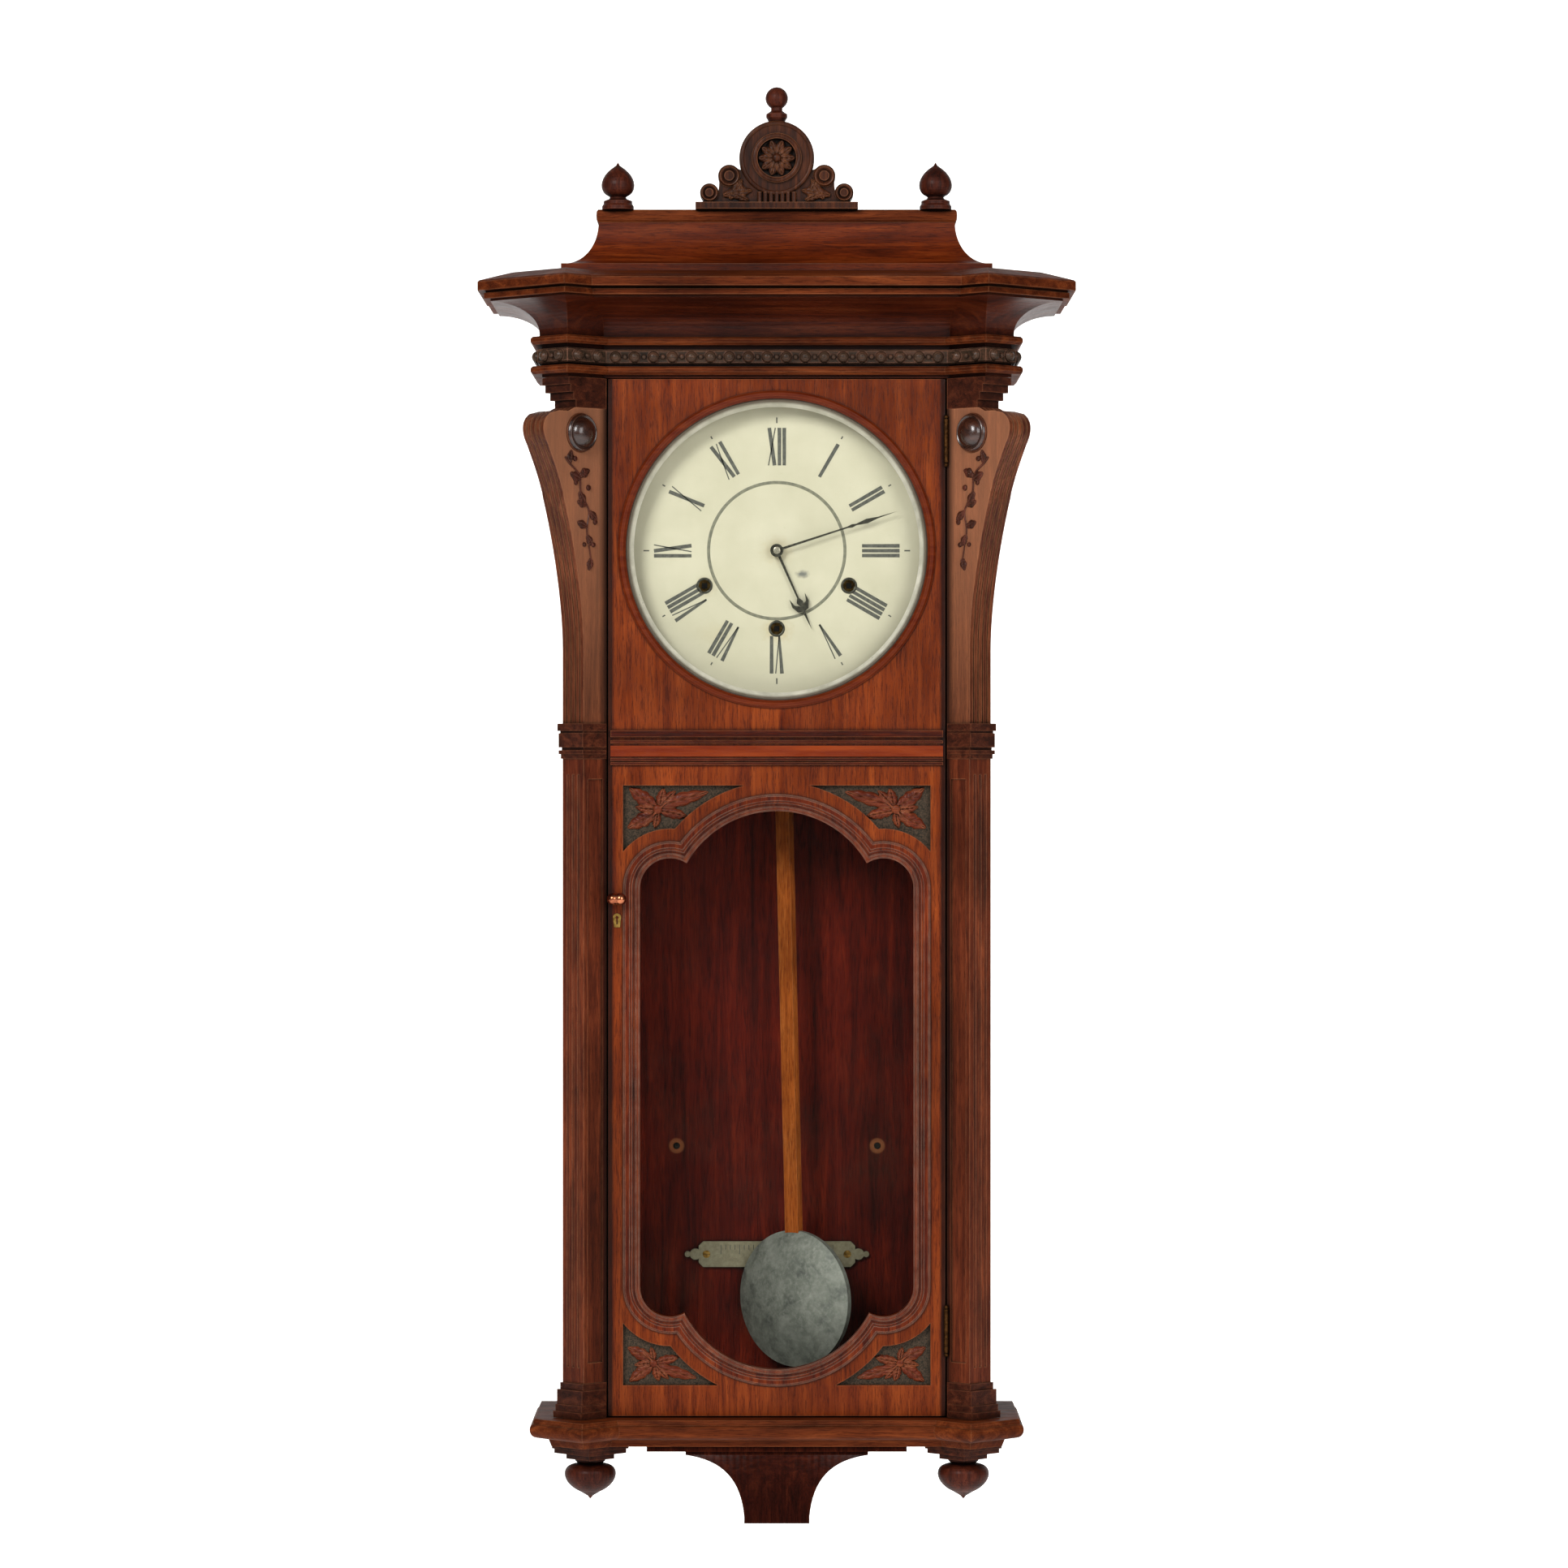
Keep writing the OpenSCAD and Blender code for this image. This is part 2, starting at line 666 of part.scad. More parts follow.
// An acorn turned upright on a collar
module acorn(h, r) {
    turned(concat([[0, 0], [r, 0], [r, 3], [r * 0.9, 5], [r * 0.9, 7.5], [r * 0.55, 9.5], [r * 0.5, h * 0.26]],
        bezier([r * 0.62, h * 0.29], [r * 1.15, h * 0.36], [r * 1.25, h * 0.64], [r * 0.45, h * 0.85], 10),
        [[1.6, h * 0.93], [0, h]]));
}

module side_finials() {
    color(dark_wood) hung() pair() translate([side_finial_x, crest_y, cap_z]) acorn(side_finial_h, 14);
}

// Outline of the sawn console in its own diagonal plane, as [reach, height], with its outer edge cut back
function console_outline(cut = 0) =
    let (low = console_z, top = console_top, s = scroll_u - cut, c = shaft_u - cut)
    concat(
        [[-1, low], [c, low]],
        bezier([c, top - 213], [c, top - 173], [c + 0.14 * s, top - 120], [s * 0.67, top - 79], 12),
        bezier([s * 0.685, top - 74], [s * 0.76, top - 57], [s * 0.83, top - 47], [s * 0.9, top - 36], 6),
        bezier([s * 0.915, top - 33.5], [s * 0.99, top - 25], [s * 1.035, top - 13], [s * 0.88, top - 6], 12),
        [[s * 0.74, top - 3.5], [s * 0.6, top - 3.5], [s * 0.5, top], [-1, top]]);

// Places a piece drawn in the diagonal plane: x is the reach, z the height, and y > 0 the outer side
module on_diagonal() {
    translate([pilaster_root, -door_front, 0]) rotate([0, 0, -45]) children();
}

module front_of_door_plane() {
    difference() {
        children();
        box_at([-body_half, -door_front, 0], [body_half * 2, 0, slab_top]);
        box_at([0, -2 * door_front, 0], [pilaster_root, 0, slab_top]);
    }
}

module diagonal_board(outline, v0, v1) {
    on_diagonal() y_plate(outline, v0, v1);
}

module console(s) {
    eye_u = 0.405 * scroll_u;
    eye_z = console_top - 22;
    reeds = 5;
    groove = 1.3;
    reed_w = (console_t - (reeds - 1) * groove) / reeds;
    color(carved_wood) hung() mirror([s < 0 ? 1 : 0, 0, 0]) front_of_door_plane() {
        diagonal_board(console_outline(groove), 0, console_t);
        for (i = [0:reeds - 1])
            diagonal_board(console_outline(), i * (reed_w + groove), i * (reed_w + groove) + reed_w);
        on_diagonal() translate([eye_u, 0, eye_z]) rotate([90, 0, 0]) {
            turned([[boss_r - 5, -1], [boss_r, -1], [boss_r, 1.2], [boss_r - 1.5, 3], [boss_r - 3.5, 3],
                [boss_r - 5, 1]]);
            turned([[0, -1], [7, -1], [7, 0.5], [5.6, 3.4], [3, 5.2], [0, 5.8]], 40);
        }
    }
}

// A block of the plan's corner, as wide as the given reach and thickness, between two heights
module corner_block(u, t, low, high, proud = 0) {
    front_of_door_plane() on_diagonal() box_at([-1, -proud, low], [u, t, high]);
}

module capitals() {
    steps = [[0, 0], [3, 1.5], [8, 4], [12, 7]];
    step_h = (frieze_z - gap - console_top) / 4;
    color(carved_wood) hung() pair() for (i = [0:3])
        corner_block(capital_u + 1 - steps[i][0] * 0.7, frieze_t + 1.5 - steps[i][1],
            frieze_z - gap - (i + 1) * step_h, frieze_z - gap - i * step_h);
}

module mid_bands() {
    bands = [[0, 6.5, 3.4], [6.5, 8.5, 1.6], [8.5, 21, 2.6], [21, 23.5, 0.6], [23.5, 27, 2.6], [27, 31, 1.2]];
    color(carved_wood) hung() pair() for (b = bands)
        corner_block(shaft_u + b[2], console_t + b[2], mid_top - b[1], mid_top - b[0], b[2] * 0.6);
}

module lower_pilasters() {
    foot = case_z + ledge_h + 31;
    reed_w = console_t / 4;
    color(carved_wood) hung() pair() front_of_door_plane() on_diagonal() difference() {
        box_at([-1, 0, foot], [shaft_u, console_t, mid_low]);
        for (i = [1:3]) translate([shaft_u + 0.6, i * reed_w, foot + 14])
            cylinder(h = mid_low - foot - 28, r = 1.6, $fn = 24);
        box_at([5, -1, foot + 18], [shaft_u - 5, 1.2, mid_low - 18]);
    }
}

module plinths() {
    low = case_z + ledge_h;
    steps = [[0, 6, 6], [6, 12, 4.6], [12, 25, 3.6], [25, 31, 1.6]];
    color(carved_wood) hung() pair() for (s = steps)
        corner_block(shaft_u + s[2], console_t + s[2], low + s[0], low + s[1], 0.5 * s[2]);
}

module base_ledge() {
    top = case_z + ledge_h;
    inner = body_plan;
    outer = grown(body_plan, ledge_reach);
    color(carved_wood) hung() difference() {
        union() {
            slab_of(inner, case_z, top - gap);
            moulding(inner, outer, concat([[0, case_z], [0.34, case_z], [0.42, case_z + 6]],
                bezier([0.8, case_z + 8], [1.02, case_z + 9], [1.06, case_z + 19], [0.88, case_z + 20], 8),
                [[0.88, top - 2.5], [0.84, top - gap], [0, top - gap]]));
        }
        box_at([-body_half - gap, -(door_front - door_t), case_z - 1], [body_half + gap, 1, top + 1]);
    }
}

module drop_blocks() {
    steps = [[0, 5, 24], [5, 9, 22.5], [9, drop_block_h, 15]];
    color(dark_wood) hung() pair() translate([drop_x, drop_y, case_z]) rotate([0, 0, 45])
        for (s = steps) box_at([-s[2], -s[2], -s[1]], [s[2], s[2], -s[0]]);
}

module drop_finials() {
    top = case_z - drop_block_h;
    color(dark_wood) hung() pair() translate([drop_x, drop_y, 0]) turned(concat(
        [[0, top], [drop_r * 0.62, top], [drop_r * 0.62, top - 1.5], [drop_r * 0.52, top - 3.5]],
        bezier([drop_r * 0.78, top - 5], [drop_r * 1.22, top - 8], [drop_r * 1.16, top - 22],
            [drop_r * 0.4, top - 29], 12),
        [[2.6, top - 32.5], [0, top - 35.5]]));
}

module tail_bracket() {
    front_reach = door_front - 6;
    top = case_z - 5;
    color(carved_wood) hung() {
        box_at([-tail_half - 34, -door_front - 4, top], [tail_half + 34, 0, case_z]);
        intersection() {
            y_plate(concat(
                [[tail_half, top]],
                bezier([tail_half, top - 4], [tail_half - 32, top - 11], [tail_tip_half + 3, top - 30],
                    [tail_tip_half, 6], 16),
                [[tail_tip_half, 0], [-tail_tip_half, 0]],
                reversed([for (p = bezier([tail_half, top - 4], [tail_half - 32, top - 11],
                    [tail_tip_half + 3, top - 30], [tail_tip_half, 6], 16)) [-p.x, p.y]]),
                [[-tail_half, top]]), -door_front, 0);
            translate([-tail_half, 0, 0]) rotate([90, 0, 90]) linear_extrude(2 * tail_half) polygon(concat(
                [[0, 0], [0, top], [-front_reach, top]],
                bezier([-front_reach, top - 4], [-front_reach + 24, top - 12], [-tail_tip_depth - 4, top - 30],
                    [-tail_tip_depth, 6], 16),
                [[-tail_tip_depth, 0]]));
        }
    }
}

module beat_scale() {
    h = 23;
    cut = 4;
    x = scale_w / 2;
    color(cream) hung() difference() {
        union() {
            translate([0, 0, scale_z]) y_plate([[-x, -h / 2 + cut], [-x + cut, -h / 2], [x - cut, -h / 2],
                [x, -h / 2 + cut], [x, h / 2 - cut], [x - cut, h / 2], [-x + cut, h / 2], [-x, h / 2 - cut]],
                -back_t - scale_t, -back_t);
            for (s = [-1, 1]) {
                y_rod(s * (x + 3), scale_z, 5, -back_t - scale_t, -back_t);
                y_rod(s * (x + 10), scale_z, 2.6, -back_t - scale_t, -back_t);
            }
        }
        for (s = [-1, 1]) y_rod(s * scale_screw, scale_z, 2 * screw_r + 0.1, -back_t - scale_t - 1, 0);
    }
}

module movement_bracket() {
    base_t = 6;
    base_y = -back_t - base_t;
    cock_half = 9;
    color(steel) hung() difference() {
        union() {
            box_at([-arm_x - arm_w, base_y, dial_z + 28], [arm_x + arm_w, -back_t, dial_z + 48]);
            for (s = [-1, 1]) {
                translate([s * arm_x, 0, dial_z - 52]) box_at([-arm_w / 2, base_y, 0], [arm_w / 2, -back_t, 100]);
                for (z = [-50, 40]) translate([s * arm_x, 0, dial_z + z])
                    box_at([-arm_w / 2, plate_rear_y + plate_t, 0], [arm_w / 2, base_y, 8]);
            }
            box_at([-cock_half, base_y, dial_z + 40], [cock_half, -back_t, pivot_z + 16]);
            box_at([-cock_half, swing_y + 3, pivot_z - 6], [cock_half, base_y, pivot_z + 16]);
            y_rod(0, pivot_z, 1.5, swing_y - 3, swing_y + 3, fine_fn);
        }
        for (s = [-1, 1]) y_rod(s * arm_x / 2, dial_z + 38, screw_r + shaft_gap, base_y - 1, 1);
    }
}

module plate_outline(y0, y1) {
    cut = 10;
    y_plate([[-plate_half, -plate_down + cut], [-plate_half + cut, -plate_down], [plate_half - cut,
        -plate_down], [plate_half, -plate_down + cut], [plate_half, plate_up - cut], [plate_half - cut,
        plate_up], [-plate_half + cut, plate_up], [-plate_half, plate_up - cut]], y0, y1);
}

module plate_bores(y0, y1) {
    y_rod(0, 0, pivot_r + shaft_gap, y0, y1);
    for (b = barrels) y_rod(b.x, b.y, arbor_r + shaft_gap, y0, y1);
    for (p = [[0, escape_up], third_at, [0, pivot_z - dial_z], hammer_at])
        y_rod(p.x, p.y, pivot_r + shaft_gap, y0, y1);
}

module front_plate() {
    color(brass) hung() translate([0, 0, dial_z]) {
        difference() {
            plate_outline(plate_front_y, plate_front_y + plate_t);
            plate_bores(plate_front_y - 1, plate_front_y + plate_t + 1);
        }
        y_rod(-motion_distance, 0, stud_r, dial_y + dial_t + 1, plate_front_y);
    }
}

module back_plate() {
    pillar_r = 4;
    color(brass) hung() translate([0, 0, dial_z]) {
        difference() {
            plate_outline(plate_rear_y, plate_rear_y + plate_t);
            plate_bores(plate_rear_y - 1, plate_rear_y + plate_t + 1);
        }
        for (x = [-1, 1]) for (z = [-plate_down + 12, plate_up - 12])
            y_rod(x * (plate_half - 12), z, pillar_r, plate_front_y + plate_t, plate_rear_y);
    }
}

module dial() {
    feet = [[82, 48], [-82, 48], [62, -92], [-62, -92]];
    pipe_room = 4.6;
    color(cream) hung() translate([0, 0, dial_z]) {
        difference() {
            y_rod(0, 0, dial_r, dial_y, dial_y + dial_t, round_fn);
            y_rod(0, 0, pipe_room, dial_y - 1, dial_y + dial_t + 1);
            for (b = barrels) y_rod(b.x, b.y, wind_r, dial_y - 1, dial_y + dial_t + 1);
        }
        for (f = feet) y_rod(f.x, f.y, 3, dial_y + dial_t, plate_front_y);
    }
}

// A round wire along a line in x and z, with flat ends
module wire(line, r, sides) {
    n = len(line);
    points = [
        for (i = [0:n - 1]) let (d = line[min(i + 1, n - 1)] - line[max(i - 1, 0)], u = d / norm(d))
            for (k = [0:sides - 1]) let (a = 360 * k / sides)
                [line[i].x - u.y * r * cos(a), r * sin(a), line[i].y + u.x * r * cos(a)]
    ];
    faces = concat(
        [for (k = [1:sides - 2]) [0, k + 1, k]],
        [for (k = [1:sides - 2]) [(n - 1) * sides, (n - 1) * sides + k, (n - 1) * sides + k + 1]],
        [for (i = [0:n - 2], k = [0:sides - 1]) [i * sides + k, i * sides + (k + 1) % sides, (i + 1) * sides + k]],
        [for (i = [0:n - 2], k = [0:sides - 1])
            [i * sides + (k + 1) % sides, (i + 1) * sides + (k + 1) % sides, (i + 1) * sides + k]]);
    polyhedron(points, faces);
}

module gongs() {
    block = 6;
    color(steel) hung() translate([gong_x, 0, gong_z]) {
        for (y = coil_y) translate([0, y, 0]) wire(gong_line, gong_wire, 6);
        box_at([gong_in - block, min(coil_y) - 4, -lead_l - 2 * block], [gong_in + block, -back_t, -lead_l]);
    }
}

module hammers() {
    color(steel) hung() translate([hammer_at.x, 0, dial_z + hammer_at.y]) {
        y_rod(0, 0, pivot_r, plate_front_y, min(coil_y) - 6);
        y_rod(0, 0, 4, plate_rear_y + plate_t + gap, max(coil_y) + 3);
        for (y = coil_y) translate([0, y, 0]) {
            translate([0, 0, -hammer_len]) cylinder(h = hammer_len, r = 1.3, $fn = 20);
            translate([-head_l / 2, 0, -hammer_len - 2]) rotate([0, 90, 0])
                cylinder(h = head_l, r = 4, $fn = fine_fn);
        }
    }
}

// A toothed wheel's outline: n teeth of module m with play between the flanks
function gear(n, m) = [
    for (i = [0:n - 1]) for (c = [[-0.30, -1.15], [-0.13, 0.85], [0.13, 0.85], [0.30, -1.15]])
        let (a = 360 * (i + c[0]) / n, r = m * (n / 2 + c[1])) [r * cos(a), r * sin(a)]
];

module y_gear(n, m, y0, y1, phase) {
    translate([0, y1, 0]) rotate([90, 0, 0]) rotate([0, 0, phase]) linear_extrude(y1 - y0) polygon(gear(n, m));
}

// A wheel crossed out to four arms
module crossed_wheel(n, m, y0, y1, hub) {
    rim = m * n / 2 - 4;
    difference() {
        y_gear(n, m, y0, y1, 0);
        for (k = [0:3]) rotate([0, 90 * k + 45, 0]) intersection() {
            difference() {
                y_rod(0, 0, rim, y0 - 1, y1 + 1);
                y_rod(0, 0, hub, y0 - 2, y1 + 2);
            }
            rotate([0, 45, 0]) box_at([1.6, y0 - 1, 1.6], [rim + 1, y1 + 1, rim + 1]);
        }
    }
}

module barrel(b) {
    drum_y = plate_front_y + plate_t + 2;
    wheel_y = plate_rear_y - 6;
    square = 4.6;
    color(brass) hung() translate([b.x, 0, dial_z + b.y]) {
        y_rod(0, 0, arbor_r, plate_front_y - 1, plate_rear_y + plate_t, fine_fn);
        box_at([-square / 2, dial_y + dial_t / 2, -square / 2], [square / 2, plate_front_y, square / 2]);
        y_rod(0, 0, barrel_r, drum_y, wheel_y, round_fn);
        y_gear(84, 2 * (barrel_r + 1.2) / 84, wheel_y, wheel_y + 2.5, 0);
    }
}

module third_wheel() {
    color(brass) hung() translate([third_at.x, 0, dial_z + third_at.y]) {
        y_rod(0, 0, pivot_r, plate_front_y, plate_rear_y + plate_t, fine_fn);
        rotate([0, -third_to_escape, 0]) crossed_wheel(third_teeth, train_module, third_y, third_y + 1.8, 4);
        y_gear(pinion_leaves, train_module, third_y + 5, plate_rear_y - 2.5, 0);
    }
}

module escape_wheel() {
    teeth = 30;
    tip = 15;
    y = plate_front_y + plate_t + 8;
    color(brass) hung() translate([0, 0, dial_z + escape_up]) {
        y_rod(0, 0, pivot_r, plate_front_y, plate_rear_y + plate_t, fine_fn);
        y_gear(pinion_leaves, train_module, third_y - 1, third_y + 2.8,
            third_to_escape + 180 * (1 + 1 / pinion_leaves));
        difference() {
            y_plate([for (i = [0:teeth - 1]) for (c = [[0, tip - 3], [0.55, tip], [0.65, tip]])
                let (a = 360 * (i + c[0]) / teeth) [c[1] * cos(a), c[1] * sin(a)]], y, y + 1.6);
            for (k = [0:3]) rotate([0, 90 * k, 0]) y_rod(6.8, 0, 3, y - 1, y + 3);
        }
    }
}

module anchor() {
    y = plate_front_y + plate_t + 8;
    crutch_y = plate_rear_y + plate_t + 1;
    fork = hook_half + gap;
    tine = 2;
    color(steel) hung() translate([0, 0, pivot_z]) rotate([0, -lean, 0]) {
        y_rod(0, 0, pivot_r, plate_front_y, crutch_y + 2, fine_fn);
        y_rod(0, 0, 4, y - 1, y + 3, fine_fn);
        y_plate([[-18, -19], [-19, -12], [-8, 3], [8, 3], [19, -12], [18, -19], [16, -18], [15, -11], [6, -3.5],
            [-6, -3.5], [-15, -11], [-16, -18]], y, y + 1.6);
        y_rod(0, 0, 4, crutch_y, crutch_y + 2, fine_fn);
        box_at([-1.8, crutch_y, -crutch_drop], [1.8, crutch_y + 2, 0]);
        box_at([-fork - tine, crutch_y, -crutch_drop - 4], [fork + tine, crutch_y + 2, -crutch_drop]);
        for (s = [-1, 1]) translate([s * (fork + tine / 2), 0, 0])
            box_at([-tine / 2, crutch_y, -crutch_drop - 4], [tine / 2, swing_y + 2, -crutch_drop]);
    }
}

module minute_wheel() {
    y1 = wheel_low;
    color(brass) hung() translate([-motion_distance, 0, dial_z]) difference() {
        union() {
            y_gear(minute_teeth, motion_module, y1 - wheel_t, y1, 180 / minute_teeth);
            y_gear(minute_pinion_teeth, hour_module, y1 - 2 * wheel_t - 1, y1 - wheel_t, 0);
        }
        y_rod(0, 0, stud_r + shaft_gap, y1 - 20, y1 + 1);
    }
}

// Turns a hand drawn upright to its angle clockwise from twelve
module clock_hand(angle) {
    rotate([0, angle, 0]) children();
}

module hour_hand() {
    y1 = wheel_low - wheel_t - 0.7;
    color(steel) hung() translate([0, 0, dial_z]) difference() {
        union() {
            y_gear(hour_teeth, hour_module, y1 - wheel_t + 0.6, y1, 180 / hour_teeth);
            y_rod(0, 0, pipe_r, hour_y - hand_t, y1, fine_fn);
            clock_hand(hour_angle) {
                y_rod(0, 0, 5.5, hour_y - hand_t, hour_y, fine_fn);
                y_plate([[-1.2, 4], [-0.8, 46], [-3, 50], [-0.9, 54], [-5.5, 51], [-7.5, 44], [-8, 52],
                    [-5, 58], [-1.2, 59], [0, hour_len], [1.2, 59], [5, 58], [8, 52], [7.5, 44], [5.5, 51],
                    [0.9, 54], [3, 50], [0.8, 46], [1.2, 4]], hour_y - hand_t, hour_y);
            }
        }
        y_rod(0, 0, pivot_r + shaft_gap, hour_y - 5, y1 + 5);
    }
}

module minute_hand() {
    y1 = wheel_low;
    color(steel) hung() translate([0, 0, dial_z]) {
        y_rod(0, 0, pivot_r, minute_y - 2, plate_rear_y + plate_t, fine_fn);
        y_gear(cannon_teeth, motion_module, y1 - wheel_t, y1, 0);
        translate([0, plate_rear_y - 3, 0]) crossed_wheel(64, 0.62, -1.8, 0, 5);
        clock_hand(minute_angle) {
            y_rod(0, 0, 5.8, minute_y - hand_t, minute_y, fine_fn);
            y_rod(0, 0, 3.6, minute_y - 2, minute_y, fine_fn);
            y_plate([[-1.1, 4], [-0.7, 66], [-1.5, 70], [-0.7, 74], [-2.1, 84], [-0.7, 94], [0, minute_len],
                [0.7, 94], [2.1, 84], [0.7, 74], [1.5, 70], [0.7, 66], [1.1, 4]], minute_y - hand_t, minute_y);
        }
    }
}

// Hangs a piece from the suspension pivot; its heights count down from the pivot
module hanging() {
    translate([0, swing_y, pivot_z - hang_h]) rotate([0, -lean, 0]) children();
}

module suspension_spring() {
    pin_r = 1.5;
    color(brass) hanging() difference() {
        union() {
            y_rod(0, 0, 4.5, -1.6, 1.6, fine_fn);
            box_at([-3.5, -0.2, -28], [3.5, 0.2, 0]);
            box_at([-hook_half, -1.6, hook_low], [hook_half, 1.6, -26]);
            translate([0, 0, hook_low - 5]) cylinder(h = 7, r = peg_r, $fn = fine_fn);
        }
        y_rod(0, 0, pin_r + shaft_gap, -3, 3);
    }
}

module turned_on_hook() {
    hanging() rotate([0, 0, -twist]) children();
}

module pendulum_rod() {
    thread_low = -(pivot_z - bob_z) - bob_r - 18;
    peg_hole = 6;
    color(rod_wood) turned_on_hook() difference() {
        union() {
            box_at([-rod_w / 2, -rod_t / 2, rod_end], [rod_w / 2, rod_t / 2, rod_top]);
            translate([0, 0, thread_low]) cylinder(h = rod_end + 6 - thread_low, r = thread_r, $fn = fine_fn);
        }
        translate([0, 0, rod_top - peg_hole]) cylinder(h = peg_hole + 2, r = peg_r + shaft_gap, $fn = fine_fn);
    }
}

module pendulum_bob() {
    rim = 5;
    half = bob_t / 2;
    lens_r = (pow(bob_r, 2) + pow(half - rim / 2, 2)) / (2 * (half - rim / 2));
    face = [for (i = [0:10]) let (r = bob_r * i / 10)
        [r, half - lens_r + sqrt(lens_r * lens_r - r * r)]];
    color(zinc) turned_on_hook() translate([0, 0, -(pivot_z - bob_z)]) difference() {
        rotate([90, 0, 0]) turned(concat([for (p = reversed(face)) [p.x, -p.y]] , face));
        translate([0, 0, -bob_r - 1]) cylinder(h = 2 * bob_r + 2, r = thread_r + shaft_gap, $fn = fine_fn);
        box_at([-rod_w / 2 - shaft_gap, -rod_t / 2 - shaft_gap, bob_r - rod_sunk - shaft_gap],
            [rod_w / 2 + shaft_gap, rod_t / 2 + shaft_gap, bob_r + 1]);
    }
}

module rating_nut() {
    nut_r = 8;
    nut_h = 9;
    color(brass) turned_on_hook() translate([0, 0, -(pivot_z - bob_z) - bob_r - nut_h - gap]) difference() {
        turned([[0, 0], [nut_r - 1, 0], [nut_r, 1], [nut_r, 5], [nut_r - 1, 6], [3.5, 6.4], [3.5, nut_h],
            [0, nut_h]], 48);
        translate([0, 0, -1]) cylinder(h = nut_h + 2, r = thread_r + shaft_gap, $fn = fine_fn);
    }
}

// The cusped shape of the window, grown outward all round, from the plane y0 back to y1
module window_shape(grow, y0, y1) {
    lobe_x = window_half - lobe_r;
    high = window_top - 68;
    low = window_bottom + 73;
    shoulder = lobe_r - 6.5 + grow;
    box_at([-window_half - grow, y0, low], [window_half + grow, y1, high]);
    box_at([-lobe_x, y0, low - shoulder], [lobe_x, y1, high + shoulder]);
    for (x = [-lobe_x, lobe_x]) for (z = [low, high]) y_rod(x, z, lobe_r + grow, y0, y1, round_fn);
    y_rod(0, window_top - arch_r, arch_r + grow, y0, y1, round_fn);
    y_rod(0, window_bottom + arch_r, arch_r + grow, y0, y1, round_fn);
}

module spandrel_pockets(y0, y1, shrink) {
    difference() {
        union() {
            box_at([-pocket_half + shrink, y0, window_top - 68],
                [pocket_half - shrink, y1, rail_low - shrink]);
            box_at([-pocket_half + shrink, y0, pocket_low + shrink],
                [pocket_half - shrink, y1, window_bottom + 73]);
        }
        window_shape(window_band + pocket_rim + shrink, y0 - 1, y1 + 1);
    }
}

module door_frame() {
    back = -(door_front - door_t);
    color(red_wood) hung() difference() {
        box_at([-door_half, -door_front, door_z], [door_half, back, door_top]);
        y_rod(0, dial_z, port_r, -door_front - 1, back + 1, 96);
        window_shape(0, -door_front - 1, pane_y);
        box_at([-window_half - rebate, pane_y, window_bottom - rebate],
            [window_half + rebate, back + 1, window_top + rebate]);
        spandrel_pockets(-door_front - 1, -door_front + pocket_d, 0);
        y_rod(knob_x, knob_z, stem_r + shaft_gap, -door_front - 1, back + 1);
    }
}

// Each band of the mid-rail is [foot, head, reach], counted from the foot of the lowest one
module door_bands() {
    bands = [[0, 2.6, 3], [3.4, 6.4, 2.2], [7.4, 17, 1.2], [19, 21.6, 1.8], [24.5, 30.5, 3.4]];
    half = door_half - 2;
    color(dark_wood) hung() {
        for (b = bands) box_at([-half, -door_front - b[2], rail_z + b[0]], [half, -door_front, rail_z + b[1]]);
        translate([0, -door_front, dial_z]) rotate([90, 0, 0]) turned([[port_r, 0], [port_ring_r, 0],
            [port_ring_r, 1.5], [port_ring_r - 2, 3.4], [port_ring_r - 4.5, 3.4], [port_r, 1.2]], 96);
    }
}

// Each layer of the window's moulding is [inner share, outer share of its width, reach]
module window_moulding() {
    layers = [[0.2, 1, 1.6], [0.45, 0.96, 2.6], [0.6, 0.88, 3.6], [0, 0.28, 3], [0.07, 0.2, 3.8]];
    color(dark_wood) hung() {
        for (l = layers) difference() {
            window_shape(l[1] * window_band, -door_front - l[2], -door_front);
            window_shape(l[0] * window_band, -door_front - l[2] - 1, -door_front + 1);
        }
    }
}

// A carved leaf growing from the origin along x
module leaf(l, w, y0, y1) {
    upper = bezier([0, 0], [l * 0.3, w * 0.75], [l * 0.7, w * 0.7], [l, 0], 8);
    y_plate(concat(upper, [for (i = [7:-1:1]) [upper[i].x, -upper[i].y]]), y0, y1);
}

// Each spray is [x, height, size, whether it is turned upside down], each leaf [angle, length, width, thickness]
module spandrels() {
    floor_y = -door_front + pocket_d;
    leaves = [[-161, 46, 11, 3.4], [-32, 30, 14, 4], [34, 30, 13, 3.6], [-95, 16, 11, 3.8], [168, 24, 10, 3.2]];
    color(dark_wood) hung() pair() for (s = sprays)
        translate([s[0], 0, s[1]]) mirror([0, 0, s[3]]) {
            for (l = leaves) rotate([0, l[0], 0]) translate([2, 0, 0])
                leaf(s[2] * l[1] - 2, s[2] * l[2], floor_y - l[3], floor_y);
            y_rod(0, 0, 6 * s[2], floor_y - 4.6, floor_y, 32);
        }
}

module sight_ring() {
    color(steel) hung() translate([0, -door_front, dial_z]) rotate([90, 0, 0]) turned([[port_r - shaft_gap, -11],
        [port_r - shaft_gap, -0.5], [port_r - 1.4, 0.6], [sight_r, -6.4], [sight_r, -7.6], [port_r - 2, -7.6],
        [port_r - 2, -11]], 96);
}

module dial_glass() {
    top = -(door_front - 7.6 - gap);
    color(pane, 0.35) hung() y_rod(0, dial_z, port_r - 2.1, top, top + glass_t, 96);
}

module window_glass() {
    edge = rebate - gap;
    color(pane, 0.35) hung() box_at([-window_half - edge, pane_y, window_bottom - edge],
        [window_half + edge, pane_y + glass_t, window_top + edge]);
}

